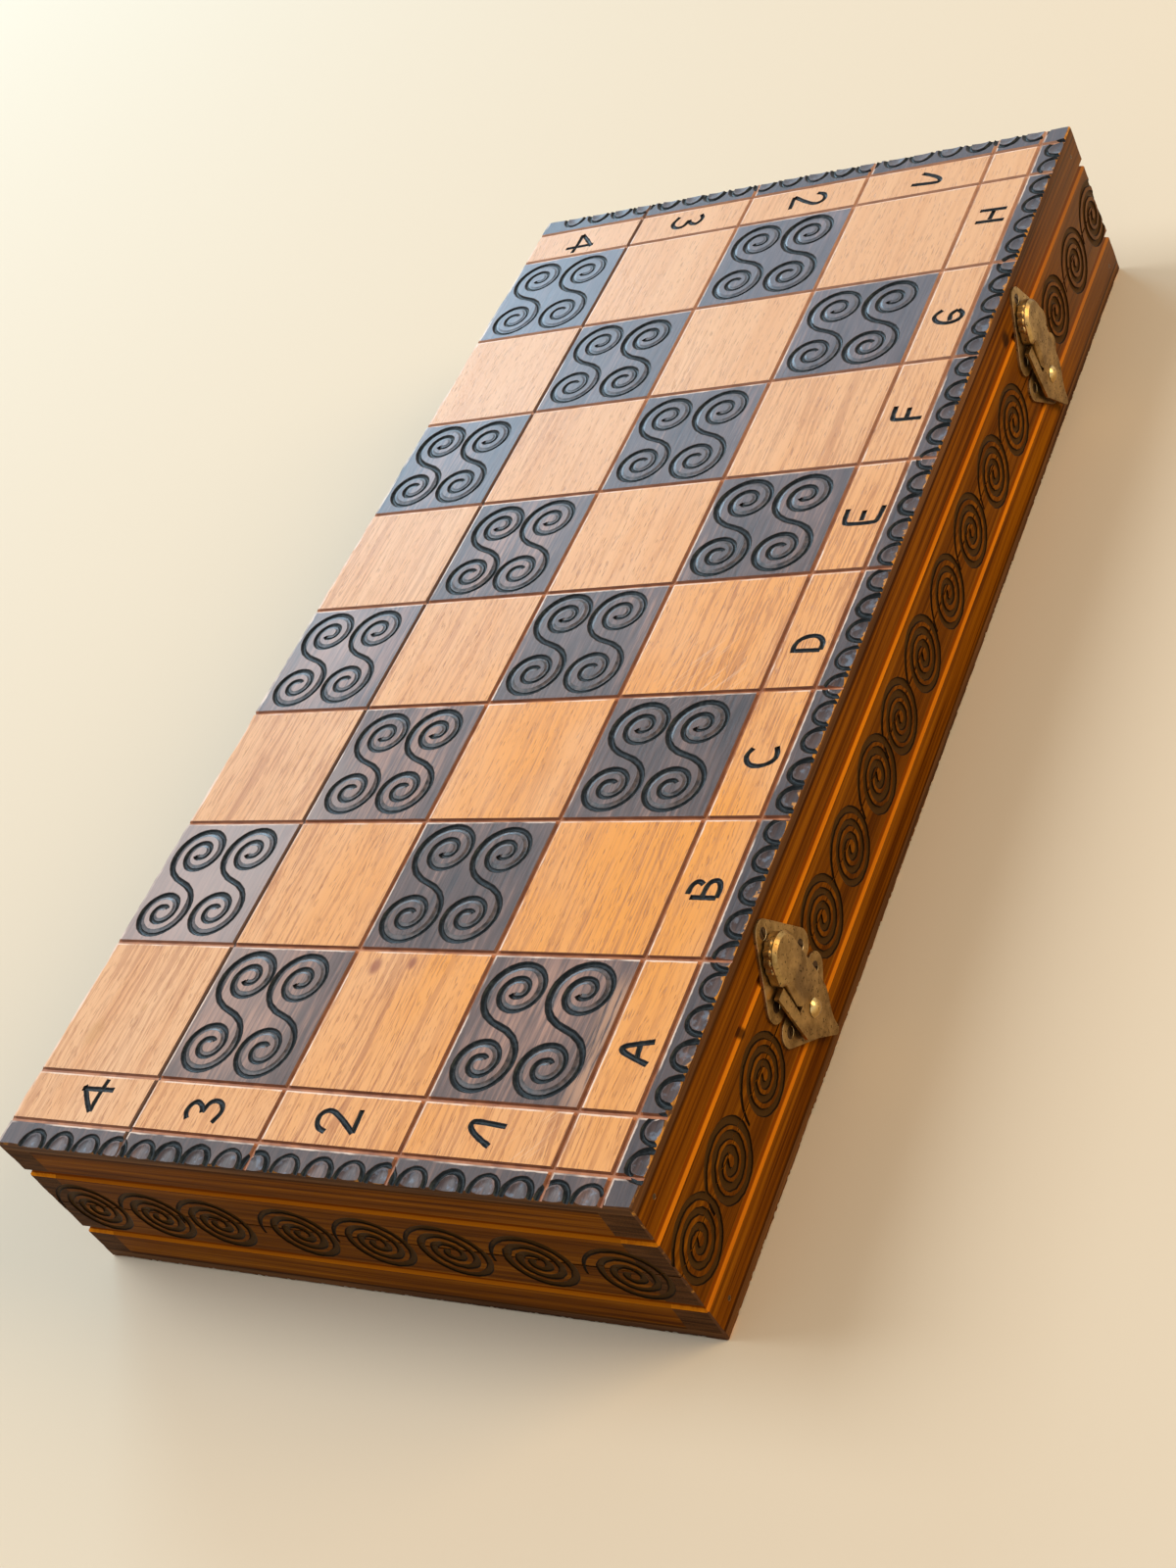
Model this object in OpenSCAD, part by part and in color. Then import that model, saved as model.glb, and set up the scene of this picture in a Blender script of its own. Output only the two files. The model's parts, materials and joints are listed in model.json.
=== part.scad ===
// Folding chessboard box: two shallow trays hinged at the back, each with half of the board on its
// outer face, and two swing latches on the front. Closed, as it is carried and stored.
// X runs along the files, -Y is the latch side, +Y is the hinge side, and Z = 0 is the lower playing face.

/* [Board] */
// Side of one chess square
square = 44; // [36:1:55]
// Width of the strip that carries the rank numbers, at each end
number_strip = 16; // [10:1:24]
// Width of the strip that carries the file letters, at the front
letter_strip = 16; // [10:1:24]
// Width of the dark border round the outer edges
border = 8; // [5:0.5:14]
// Thickness of the playing board
board_t = 3; // [2:0.5:6]
// Width of the milled lines between the squares, at the playing face
line_w = 1.5; // [0.8:0.1:2.5]
// Depth of the milled lines
line_depth = 0.7; // [0.3:0.1:1.2]

/* [Rails] */
// Height of one closed half, from its playing face to the parting plane
half_h = 28; // [24:1:40]
// Thickness of the rails
rail_t = 10; // [8:0.5:14]
// Space between the two halves when they are shut
parting_gap = 0.2; // [0.1:0.05:0.5]
// Width of the V-groove that runs round each half
groove_w = 3; // [1.5:0.1:4]
// Distance of the V-groove from the parting plane
groove_up = 14; // [9:0.5:16]
// Diameter of the brads that pin the corners
brad_d = 1.3; // [0.8:0.1:1.8]
// Length of the corner brads
brad_len = 24; // [14:1:30]
// Distance of a brad from the end of the box
brad_in = 7.5; // [4:0.5:8]
// Distance of a brad from the playing face
brad_up = 6.6; // [5:0.1:9]

/* [Hinges] */
// Distance of each hinge from the middle of the box
hinge_x = 120; // [60:1:160]
// Length of a hinge along its pin
hinge_len = 30; // [20:1:50]
// Width of a leaf, from the pin to its inner edge
leaf_w = 8.4; // [7.5:0.1:9]
// Thickness of a leaf
leaf_t = 1; // [0.8:0.1:1.4]
// Diameter of the hinge barrel
barrel_d = 4.4; // [3.6:0.1:5]
// Diameter of the hinge pin
pin_d = 1.8; // [1.2:0.1:2.2]
// Space between the fingers of a barrel
finger_gap = 0.2; // [0.1:0.05:0.4]
// Space between the back faces when the box lies open
back_gap = 0.2; // [0.1:0.05:0.5]
// Diameter of a hinge screw under its head
screw_d = 1.6; // [1:0.1:1.8]
// Diameter of a hinge screw's head
screw_head_d = 3.2; // [2.4:0.1:3.4]
// Length of a hinge screw
screw_len = 9; // [6:0.5:14]

/* [Latches] */
// Place of the left latch along the front
left_latch_x = -118.7; // [-160:0.1:-40]
// Place of the right latch along the front
right_latch_x = 121.5; // [40:0.5:160]
// Thickness of the latch sheet
sheet_t = 0.8; // [0.6:0.05:1]
// Distance of the lever's rivet below the parting plane
rivet_down = 8; // [7.7:0.1:8.6]
// Diameter of the lever's rivet
rivet_d = 3; // [2:0.1:3.4]
// Diameter of the rivet's domed head
rivet_head_d = 5.4; // [4.6:0.1:6]
// Height of the rivet's domed head
rivet_head_h = 1.4; // [1:0.1:1.8]
// Height of the lever's underside above the face of the box
lever_lift = 2; // [1.9:0.1:2.4]
// Width of the lever's finger tab
tab_w = 3.6; // [3:0.1:3.8]
// Distance of the tab's outer edge from the rivet's centre line, at its top
tab_out = 9.5; // [9.3:0.1:10.2]
// Distance of the lever's shoulder from the rivet's centre line
shoulder_out = 7.6; // [6.8:0.1:7.7]
// Length of the lever's tail below the rivet
tail_len = 14; // [13:0.1:17]
// Distance of the tail's rounded end from the rivet's centre line
tail_out = 2.7; // [2:0.1:4]
// Distance of the middle of the lever's head above the parting plane
head_up = 13.5; // [13:0.1:14.2]
// Radius of the lever's head
head_r = 6.1; // [5.6:0.1:6.5]
// Height of the lever's head above the face of the box
head_h = 4.4; // [4.2:0.1:5]
// Diameter of the keeper stud
stud_d = 2.6; // [2:0.1:2.8]
// Diameter of a latch nail's head
nail_head_d = 3.2; // [2.8:0.1:3.8]
// Diameter of a latch nail
nail_d = 1.3; // [1:0.1:1.6]
// Length of a latch nail
nail_len = 8; // [5:0.5:9]

/* [Hidden] */
$fn = 48;
files = 8;
half_ranks = 4;
fit = 0.05;
running = 0.1;
over = 1;

box_w = files * square + 2 * (number_strip + border);
box_d = half_ranks * square + letter_strip + border;
box_h = 2 * half_h;
rail_h = half_h - board_t - parting_gap / 2;
groove_depth = groove_w / 2;
glue_line_y = box_d / 2 - square;
front_y = -box_d / 2;
back_y = box_d / 2;

// Lines between the files, with one more outside each number strip
line_xs = concat(
    [for (i = [0 : files]) (i - files / 2) * square],
    [for (s = [-1, 1]) s * (files / 2 * square + number_strip)]
);
// Lines between the ranks, with one more outside the letter strip
line_ys = concat(
    [for (j = [1 : half_ranks]) box_d / 2 - j * square],
    [box_d / 2 - half_ranks * square - letter_strip]
);

// Hinges
hinge_y = back_y + back_gap / 2;
fingers = 5;
finger_len = hinge_len / fingers;
lower_fingers = [0, 2, 4];
upper_fingers = [1, 3];
barrel_clearance = 0.3;
mortise_clearance = 0.1;
pin_end_h = 0.4;
pin_end_d = 0.6 * pin_d;
screw_spread = 0.6 * hinge_len;
screw_margin = 0.7;
screw_from_pin = leaf_w - screw_head_d / 2 - screw_margin;
screw_head_h = (screw_head_d - screw_d) / 2;
screw_point_h = 2 * screw_d;
screw_point_d = 0.3;
screw_slot_w = 0.5;
screw_slot_depth = 0.4;

// Lever, from its rivet's centre, with its head pointing up
lever_top = lever_lift + sheet_t;
head_x = -0.5;
head_y = rivet_down + head_up;
head_edge = 0.9;
skirt_gap = 0.4;
skirt_bottom = sheet_t + skirt_gap;
foot_x = -5.6;
foot_down = 2.9;
foot_r = 1.8;
toe_x = -2.6;
toe_down = 6.1;
toe_r = 1.3;
flutes = 5;
flute_from = 100;
flute_step = 24;
flute_r = 1.25;
flute_proud = 0.4;
flute_fall = 0.7;
flute_tip_r = 0.5;
tab_gap = 1.8;
tab_top = head_y - foot_down - foot_r - tab_gap;
tab_fold = 1.3;
slot_left = tab_w - tab_out;
slot_lean = 0.3;
slot_right = -5.2;
slot_floor = 5.2;
heel = [-8.2, -2.2];
hip_down = 1.2;
waist = [6.4, -4.4];
tip_r = 1.3;
tail_curve_r = 12.8;
tail_curve_up = 0.8;
neck_root = [-2.3, 3.4];
neck_foot_up = 2.3;
neck_foot_down = 1.5;
ridge_in = 1.7;
ridge_down = 3.8;
ridge_r = 0.4;
ridge_share = 0.65;
hull_fn = 32;

// Keeper stud, close to the top of the hollow head, from the rivet's centre
stud_space = 0.4;
stud_x = head_x;
stud_y = head_y + head_r - sheet_t - stud_d / 2 - stud_space;
stud_reach = norm([stud_x, stud_y]);
stud_clear = 0.5;
stud_top = head_h - sheet_t - stud_clear;
stud_edge = 0.3;
stud_neck_d = 0.6 * stud_d;
stud_tail_d = 0.95 * stud_d;
mouth_space = 0.3;
mouth_angle = 26;

// Latch plates, from the middle of the parting line
ear_x = 10;
ear_r = 4;
ear_down = ear_r + 0.8;
base_tip_r = 3.2;
base_tip_down = 15.4;
keeper_ear_x = 9.4;
keeper_ear_r = 4.3;
keeper_ear_up = keeper_ear_r + 0.5;
keeper_tip_r = 3.6;
keeper_web = 1.2;
keeper_tip_up = stud_y - rivet_down + stud_d / 2 + keeper_web + nail_head_d / 2;
boss_r = rivet_head_d / 2 + 1.1;
boss_h = lever_lift - running;
boss_hollow = boss_h - sheet_t;
rivet_tail_d = rivet_d + 1.2;
rivet_tail_in = 0.2;
dome_fn = 64;
nail_sink = 0.05;
base_nails = [[-ear_x, -ear_down], [ear_x, -ear_down], [0, -base_tip_down]];
keeper_nails = [[-keeper_ear_x, keeper_ear_up], [keeper_ear_x, keeper_ear_up], [0, keeper_tip_up]];

// Colours
wood = "saddlebrown";
board_wood = "burlywood";
brass = "darkkhaki";
steel = "dimgray";

// Places

// The upper half is the lower half seen in a mirror at the parting plane
module upper() {
    translate([0, 0, box_h]) mirror([0, 0, 1]) children();
}

// A hinge's own frame: X along the pin, -Y towards the inside of the box
module at_hinge(side) {
    translate([side * hinge_x, hinge_y, half_h]) children();
}

module at_hinges() {
    for (side = [-1, 1]) at_hinge(side) children();
}

// A latch's own frame: X along the front, Y up from the parting plane, Z out of the face
module at_latch(x) {
    translate([x, front_y, half_h]) rotate([90, 0, 0]) children();
}

module at_latches() {
    for (x = [left_latch_x, right_latch_x]) at_latch(x) children();
}

module at_rivet() {
    translate([0, -rivet_down, 0]) children();
}

// Boards

// Section of a milled line: half as wide at its floor as at the playing face
module line_section() {
    floor_w = line_w / 2;
    mouth_w = line_w + over * (line_w - floor_w) / line_depth;
    polygon([[-mouth_w / 2, -over], [mouth_w / 2, -over], [floor_w / 2, line_depth], [-floor_w / 2, line_depth]]);
}

module milled_lines() {
    for (x = line_xs)
        translate([x, 0, 0]) rotate([90, 0, 0]) linear_extrude(box_d + 2 * over, center = true) line_section();
    for (y = line_ys)
        translate([0, y, 0]) rotate([90, 0, 90]) linear_extrude(box_w + 2 * over, center = true) line_section();
}

module stave(y0, y1) {
    difference() {
        translate([-box_w / 2, y0, 0]) cube([box_w, y1 - y0, board_t]);
        milled_lines();
    }
}

module main_stave() {
    stave(front_y, glue_line_y);
}

module hinge_stave() {
    stave(glue_line_y, back_y);
}

// Rails

// One V-groove that runs round all four sides and meets itself at the corners
module v_groove() {
    z = half_h - groove_up;
    across = [[groove_depth, 0], [0, groove_depth], [-groove_depth, 0], [0, -groove_depth]];
    for (side = [-1, 1]) {
        translate([0, side * box_d / 2, z]) rotate([0, 90, 0])
            linear_extrude(box_w + 2 * over, center = true) polygon(across);
        translate([side * box_w / 2, 0, z]) rotate([90, 0, 0])
            linear_extrude(box_d + 2 * over, center = true) polygon(across);
    }
}

module long_rail(y) {
    difference() {
        translate([-box_w / 2, y, board_t]) cube([box_w, rail_t, rail_h]);
        v_groove();
        brads(fit);
    }
}

module end_rail(side) {
    difference() {
        translate([side * (box_w - rail_t) / 2 - rail_t / 2, front_y + rail_t, board_t])
            cube([rail_t, box_d - 2 * rail_t, rail_h]);
        v_groove();
        brads(fit);
    }
}

// One brad through each end of the long rails into the end rails, or its hole with a clearance
module brads(clearance = 0) {
    for (sx = [-1, 1], sy = [-1, 1])
        translate([sx * (box_w / 2 - brad_in), sy * box_d / 2, brad_up]) rotate([sy * 90, 0, 0])
            cylinder(d = brad_d + 2 * clearance, h = brad_len + clearance);
}

module back_rail() {
    difference() {
        long_rail(back_y - rail_t);
        at_hinges() hinge_cut();
    }
}

// Hinges

// The mortise for one leaf, the notch for the barrel and the screw holes, in the lower half
module hinge_cut() {
    leaf_floor = parting_gap / 2 + leaf_t;
    notch_len = hinge_len + 2 * (barrel_clearance + pin_end_h);
    translate([-hinge_len / 2 - mortise_clearance, -leaf_w - mortise_clearance, -leaf_floor])
        cube([hinge_len + 2 * mortise_clearance, leaf_w + mortise_clearance, leaf_floor + over]);
    translate([-notch_len / 2, 0, 0]) rotate([0, 90, 0])
        cylinder(d = barrel_d + 2 * barrel_clearance, h = notch_len);
    at_screws() mirror([0, 0, 1]) cylinder(d = screw_d + 2 * fit, h = screw_len + fit);
}

// The two screws of one leaf, at the leaf's outer face
module at_screws() {
    for (s = [-1, 1]) translate([s * screw_spread / 2, -screw_from_pin, -parting_gap / 2]) children();
}

module barrel_fingers(list, d, shorten) {
    for (i = list)
        translate([-hinge_len / 2 + i * finger_len + shorten / 2, 0, 0]) rotate([0, 90, 0])
            cylinder(d = d, h = finger_len - shorten);
}

// The lower leaf: a plate, its own fingers, the bore for the pin and the countersunk screw holes
module leaf(own, other) {
    difference() {
        union() {
            translate([-hinge_len / 2, -leaf_w, -parting_gap / 2 - leaf_t]) cube([hinge_len, leaf_w, leaf_t]);
            barrel_fingers(own, barrel_d, finger_gap);
        }
        barrel_fingers(other, barrel_d + 2 * barrel_clearance, 0);
        translate([-hinge_len / 2 - over, 0, 0]) rotate([0, 90, 0])
            cylinder(d = pin_d + 2 * fit, h = hinge_len + 2 * over);
        at_screws() screw_hole();
    }
}

// The countersunk hole that a screw needs in a leaf
module screw_hole() {
    translate([0, 0, -screw_head_h])
        cylinder(d1 = screw_d + 2 * fit, d2 = screw_head_d + 2 * fit, h = screw_head_h);
    translate([0, 0, -screw_len]) cylinder(d = screw_d + 2 * fit, h = screw_len - screw_head_h);
}

// A slotted countersunk screw that points down from its flat head
module hinge_screw() {
    shank_h = screw_len - screw_head_h - screw_point_h;
    difference() {
        union() {
            translate([0, 0, -screw_head_h]) cylinder(d1 = screw_d, d2 = screw_head_d, h = screw_head_h);
            translate([0, 0, -screw_head_h - shank_h]) cylinder(d = screw_d, h = shank_h);
            translate([0, 0, -screw_len]) cylinder(d1 = screw_point_d, d2 = screw_d, h = screw_point_h);
        }
        translate([-screw_head_d, -screw_slot_w / 2, -screw_slot_depth])
            cube([2 * screw_head_d, screw_slot_w, over]);
    }
}

module hinge_screws() {
    at_hinges() at_screws() hinge_screw();
}

// The pin fills the barrel and is rounded over a little at both ends
module hinge_pin() {
    rotate([0, 90, 0]) {
        cylinder(d = pin_d, h = hinge_len, center = true);
        for (s = [-1, 1]) mirror([0, 0, s < 0 ? 1 : 0]) translate([0, 0, hinge_len / 2])
            cylinder(d1 = pin_d, d2 = pin_end_d, h = pin_end_h);
    }
}

// Latches

// A countersunk nail, or with a clearance its hole
module nail(clearance = 0) {
    head = sheet_t - 2 * nail_sink;
    translate([0, 0, nail_sink])
        cylinder(d1 = nail_d + 2 * clearance, d2 = nail_head_d + 2 * clearance, h = head);
    if (clearance > 0) translate([0, 0, sheet_t - nail_sink])
        cylinder(d = nail_head_d + 2 * clearance, h = over);
    translate([0, 0, -nail_len]) cylinder(d = nail_d + 2 * clearance, h = nail_len + nail_sink);
}

module nails(places) {
    for (p = places) translate([p[0], p[1], 0]) nail();
}

module nail_holes(places) {
    for (p = places) translate([p[0], p[1], 0]) nail(fit);
}

// Three rounded corners with straight sides between them
module three_corner_sheet(corners, t) {
    hull() for (c = corners) translate([c[0], c[1], 0]) cylinder(r = c[2], h = t, $fn = hull_fn);
}

module base_plate() {
    corners = [[-ear_x, -ear_down, ear_r], [ear_x, -ear_down, ear_r], [0, -base_tip_down, base_tip_r]];
    difference() {
        union() {
            three_corner_sheet(corners, sheet_t);
            at_rivet() cylinder(r = boss_r, h = boss_h);
        }
        at_rivet() translate([0, 0, -over]) cylinder(r = boss_r - sheet_t, h = boss_hollow + over);
        at_rivet() cylinder(d = rivet_d + 2 * fit, h = boss_h + over);
        nail_holes(base_nails);
    }
}

module keeper_plate() {
    corners = [
        [-keeper_ear_x, keeper_ear_up, keeper_ear_r],
        [keeper_ear_x, keeper_ear_up, keeper_ear_r],
        [0, keeper_tip_up, keeper_tip_r]
    ];
    difference() {
        three_corner_sheet(corners, sheet_t);
        nail_holes(keeper_nails);
        at_rivet() translate([stud_x, stud_y, 0]) stud_spigot(fit);
    }
}

// The stud's tail, spread behind the keeper plate
module stud_spigot(clearance = 0) {
    play = 2 * clearance;
    translate([0, 0, -clearance])
        cylinder(d1 = stud_tail_d + play, d2 = stud_neck_d + play, h = sheet_t + play);
}

module keeper_stud() {
    at_rivet() translate([stud_x, stud_y, 0]) {
        stud_spigot();
        translate([0, 0, sheet_t]) cylinder(d = stud_d, h = stud_top - sheet_t - stud_edge);
        translate([0, 0, stud_top - stud_edge]) cylinder(d1 = stud_d, d2 = stud_d - 2 * stud_edge, h = stud_edge);
    }
}

// The rivet's tail sits in the hollow of the boss, and its dome lies on the lever
module latch_rivet() {
    dome_r = (pow(rivet_head_d / 2, 2) + pow(rivet_head_h, 2)) / (2 * rivet_head_h);
    dome_base = lever_top + running;
    shank_from = boss_hollow / 2;
    at_rivet() {
        translate([0, 0, rivet_tail_in]) cylinder(d = rivet_tail_d, h = boss_hollow - rivet_tail_in - fit);
        translate([0, 0, shank_from]) cylinder(d = rivet_d, h = dome_base + rivet_tail_in - shank_from);
        intersection() {
            translate([0, 0, dome_base + rivet_head_h - dome_r]) sphere(r = dome_r, $fn = dome_fn);
            translate([0, 0, dome_base]) cylinder(d = rivet_head_d + over, h = rivet_head_h + over);
        }
    }
}

// Outline of the flat of the lever: the tab and its slot on the left, the pointed tail below
module lever_flat() {
    tip_y = tip_r - tail_len;
    tangent = atan2(heel[1] - tip_y, heel[0] - tail_out) + 90;
    difference() {
        union() {
            polygon([
                [-tab_out, tab_top],
                [slot_left, tab_top],
                [slot_left + slot_lean, slot_floor],
                [shoulder_out, slot_floor],
                [shoulder_out, -hip_down],
                waist,
                [waist[0], tip_y],
                [tail_out, tip_y],
                [tail_out + tip_r * cos(tangent), tip_y + tip_r * sin(tangent)],
                heel
            ]);
            translate([tail_out, tip_y]) circle(r = tip_r);
        }
        translate([tail_out + tip_r + tail_curve_r, tip_y + tail_curve_up]) circle(r = tail_curve_r, $fn = 2 * $fn);
        circle(d = rivet_d + 2 * running);
    }
}

// The round head, with the foot and the toe of its skirt on the left, each as [x, y, radius]
head_corners = [
    [head_x, head_y, head_r],
    [foot_x, head_y - foot_down, foot_r],
    [toe_x, head_y - toe_down, toe_r]
];

module lever_head() {
    hull() for (c = head_corners) translate([c[0], c[1], skirt_bottom]) {
        cylinder(r = c[2], h = head_h - head_edge - skirt_bottom, $fn = hull_fn);
        cylinder(r = c[2] - head_edge, h = head_h - skirt_bottom, $fn = hull_fn);
    }
}

// The head is a cup, open below
module head_hollow() {
    hull() for (c = head_corners) translate([c[0], c[1], 0])
        cylinder(r = c[2] - sheet_t, h = head_h - sheet_t, $fn = hull_fn);
}

module head_flutes() {
    ring = head_r - flute_r + flute_proud;
    flute_h = head_h - head_edge - flute_fall - skirt_bottom;
    for (i = [0 : flutes - 1]) {
        a = flute_from + i * flute_step;
        translate([head_x + ring * cos(a), head_y + ring * sin(a), skirt_bottom]) {
            cylinder(r = flute_r, h = flute_h);
            translate([0, 0, flute_h]) cylinder(r1 = flute_r, r2 = flute_tip_r, h = flute_fall);
        }
    }
}

// The raised neck between the flat and the head; inset gives the hollow under it
module lever_neck(inset) {
    low = inset > 0 ? lever_lift - over : lever_lift;
    ridge_h = lever_top + ridge_share * (head_h - lever_top);
    hull() {
        translate([0, 0, low]) linear_extrude(lever_top - inset - low) polygon([
            [slot_right + inset, tab_top - neck_foot_down],
            [slot_right + inset, slot_floor + neck_foot_up],
            [neck_root[0] + inset, neck_root[1] + 2 * inset],
            [shoulder_out - inset, neck_root[1] + 2 * inset],
            [shoulder_out - inset, slot_floor],
            [head_x + head_r - inset, tab_top - neck_foot_down]
        ]);
        translate([slot_right + ridge_in + inset, tab_top - ridge_down, low])
            cylinder(r = ridge_r, h = ridge_h - inset - low, $fn = hull_fn);
        translate([head_x, head_y, low])
            cylinder(r = head_r - head_edge - inset, h = head_h - inset - low, $fn = hull_fn);
    }
}

// The way that the stud takes out of the head when the head swings to the left
module stud_mouth() {
    reach = stud_d / 2 + mouth_space;
    rotate([0, 0, atan2(stud_y, stud_x) - mouth_angle]) rotate_extrude(angle = mouth_angle)
        translate([stud_reach - reach, 0]) square([2 * reach, stud_top + mouth_space]);
}

// The lever is one stamping: the flat with its tail, the folded tab, the neck and the head
module lever() {
    at_rivet() difference() {
        union() {
            translate([0, 0, lever_lift]) linear_extrude(sheet_t) lever_flat();
            translate([-tab_out, tab_top, lever_top - tab_fold]) cube([tab_w, sheet_t, tab_fold]);
            difference() {
                union() {
                    lever_head();
                    head_flutes();
                    lever_neck(0);
                }
                head_hollow();
                lever_neck(sheet_t);
            }
        }
        stud_mouth();
    }
}

// Sub-parts

module lower_board_main_stave() { color(board_wood) main_stave(); }
module lower_board_hinge_stave() { color(board_wood) hinge_stave(); }
module upper_board_main_stave() { color(board_wood) upper() main_stave(); }
module upper_board_hinge_stave() { color(board_wood) upper() hinge_stave(); }

module lower_front_rail() {
    color(wood) difference() {
        long_rail(front_y);
        at_latches() nail_holes(base_nails);
    }
}

module upper_front_rail() {
    color(wood) difference() {
        upper() long_rail(front_y);
        at_latches() nail_holes(keeper_nails);
    }
}

module lower_back_rail() { color(wood) back_rail(); }
module upper_back_rail() { color(wood) upper() back_rail(); }
module lower_left_rail() { color(wood) end_rail(-1); }
module lower_right_rail() { color(wood) end_rail(1); }
module upper_left_rail() { color(wood) upper() end_rail(-1); }
module upper_right_rail() { color(wood) upper() end_rail(1); }
module lower_rail_brads() { color(steel) brads(); }
module upper_rail_brads() { color(steel) upper() brads(); }

module left_hinge_lower_leaf() { color(brass) at_hinge(-1) leaf(lower_fingers, upper_fingers); }
module right_hinge_lower_leaf() { color(brass) at_hinge(1) leaf(lower_fingers, upper_fingers); }
module left_hinge_upper_leaf() { color(brass) upper() at_hinge(-1) leaf(upper_fingers, lower_fingers); }
module right_hinge_upper_leaf() { color(brass) upper() at_hinge(1) leaf(upper_fingers, lower_fingers); }
module left_hinge_pin() { color(steel) at_hinge(-1) hinge_pin(); }
module right_hinge_pin() { color(steel) at_hinge(1) hinge_pin(); }
module lower_hinge_screws() { color(brass) hinge_screws(); }
module upper_hinge_screws() { color(brass) upper() hinge_screws(); }

module left_latch_base_plate() { color(brass) at_latch(left_latch_x) base_plate(); }
module left_latch_base_nails() { color(steel) at_latch(left_latch_x) nails(base_nails); }
module left_latch_rivet() { color(brass) at_latch(left_latch_x) latch_rivet(); }
module left_latch_lever() { color(brass) at_latch(left_latch_x) lever(); }
module left_latch_keeper_plate() { color(brass) at_latch(left_latch_x) keeper_plate(); }
module left_latch_keeper_stud() { color(brass) at_latch(left_latch_x) keeper_stud(); }
module left_latch_keeper_nails() { color(steel) at_latch(left_latch_x) nails(keeper_nails); }
module right_latch_base_plate() { color(brass) at_latch(right_latch_x) base_plate(); }
module right_latch_base_nails() { color(steel) at_latch(right_latch_x) nails(base_nails); }
module right_latch_rivet() { color(brass) at_latch(right_latch_x) latch_rivet(); }
module right_latch_lever() { color(brass) at_latch(right_latch_x) lever(); }
module right_latch_keeper_plate() { color(brass) at_latch(right_latch_x) keeper_plate(); }
module right_latch_keeper_stud() { color(brass) at_latch(right_latch_x) keeper_stud(); }
module right_latch_keeper_nails() { color(steel) at_latch(right_latch_x) nails(keeper_nails); }

lower_board_main_stave();
lower_board_hinge_stave();
lower_front_rail();
lower_back_rail();
lower_left_rail();
lower_right_rail();
lower_rail_brads();
upper_board_main_stave();
upper_board_hinge_stave();
upper_front_rail();
upper_back_rail();
upper_left_rail();
upper_right_rail();
upper_rail_brads();
left_hinge_lower_leaf();
left_hinge_upper_leaf();
left_hinge_pin();
right_hinge_lower_leaf();
right_hinge_upper_leaf();
right_hinge_pin();
lower_hinge_screws();
upper_hinge_screws();
left_latch_base_plate();
left_latch_base_nails();
left_latch_rivet();
left_latch_lever();
left_latch_keeper_plate();
left_latch_keeper_stud();
left_latch_keeper_nails();
right_latch_base_plate();
right_latch_base_nails();
right_latch_rivet();
right_latch_lever();
right_latch_keeper_plate();
right_latch_keeper_stud();
right_latch_keeper_nails();
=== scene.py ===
# %% [markdown]
# A folding chessboard box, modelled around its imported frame.
# The box is two shallow wooden trays, hinged at the back. Each tray carries half of the board on its outer
# face, so the closed box shows ranks 1 to 4 above and ranks 5 to 8 below. Everything decorative on it is
# burned and cut into the wood by hand. The lesson therefore starts from plain joinery, cuts the ornament
# into it, and spends most of its time on wood that looks stained, scorched, worn and varnished.

# %% Load the frame
import json
import math
import random

import bmesh
import bpy
from mathutils import Matrix, Vector, noise


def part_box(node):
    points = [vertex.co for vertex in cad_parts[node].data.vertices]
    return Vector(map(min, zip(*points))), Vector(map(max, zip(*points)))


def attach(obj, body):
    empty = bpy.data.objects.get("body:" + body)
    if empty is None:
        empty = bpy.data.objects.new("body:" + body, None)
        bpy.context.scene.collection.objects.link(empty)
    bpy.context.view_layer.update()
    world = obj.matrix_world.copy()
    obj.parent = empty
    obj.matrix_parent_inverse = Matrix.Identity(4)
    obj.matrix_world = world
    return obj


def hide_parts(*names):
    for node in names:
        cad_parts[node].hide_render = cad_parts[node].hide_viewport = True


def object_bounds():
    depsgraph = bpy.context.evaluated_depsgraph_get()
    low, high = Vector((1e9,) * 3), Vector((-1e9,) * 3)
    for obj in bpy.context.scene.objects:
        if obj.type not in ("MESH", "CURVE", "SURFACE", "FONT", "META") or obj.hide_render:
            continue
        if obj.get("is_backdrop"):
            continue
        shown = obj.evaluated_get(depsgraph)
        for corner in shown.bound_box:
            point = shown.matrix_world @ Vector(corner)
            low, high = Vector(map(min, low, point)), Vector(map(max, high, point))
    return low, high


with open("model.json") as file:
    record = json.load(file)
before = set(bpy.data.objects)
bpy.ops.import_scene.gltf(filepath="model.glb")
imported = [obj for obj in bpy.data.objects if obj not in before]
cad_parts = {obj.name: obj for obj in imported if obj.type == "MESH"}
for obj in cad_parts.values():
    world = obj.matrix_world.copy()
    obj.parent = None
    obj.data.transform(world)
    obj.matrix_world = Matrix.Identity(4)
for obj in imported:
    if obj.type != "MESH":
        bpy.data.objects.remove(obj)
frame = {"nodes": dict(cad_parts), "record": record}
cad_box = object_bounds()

# %% [markdown]
# The camera comes first, because every later choice is judged through it. It looks down on the near left
# corner of the box with a fairly long lens, so the far end keeps its size. Two helpers start here. One adds
# an object to the scene. The other makes a matrix from where right and up go, which places a camera as
# well as it places a drawing on a face of the box.

# %% Camera
CAMERA_PLACE = Vector((-0.40676, -0.36525, 0.42244))
CAMERA_RIGHT = Vector((0.35746, -0.8316, -0.42505))
CAMERA_UP = Vector((0.74924, -0.01636, 0.6621))
CAMERA_LENS = 51.84
CAMERA_NEAR = 0.01


def add_object(name, data):
    made = bpy.data.objects.new(name, data)
    bpy.context.scene.collection.objects.link(made)
    return made


def facing(right, up, origin):
    """The matrix that sends X to right and Y to up, so that Z comes towards the one who looks."""
    right, up = Vector(right), Vector(up)
    turn = Matrix((right, up, right.cross(up))).transposed().to_4x4()
    return Matrix.Translation(origin) @ turn


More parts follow.
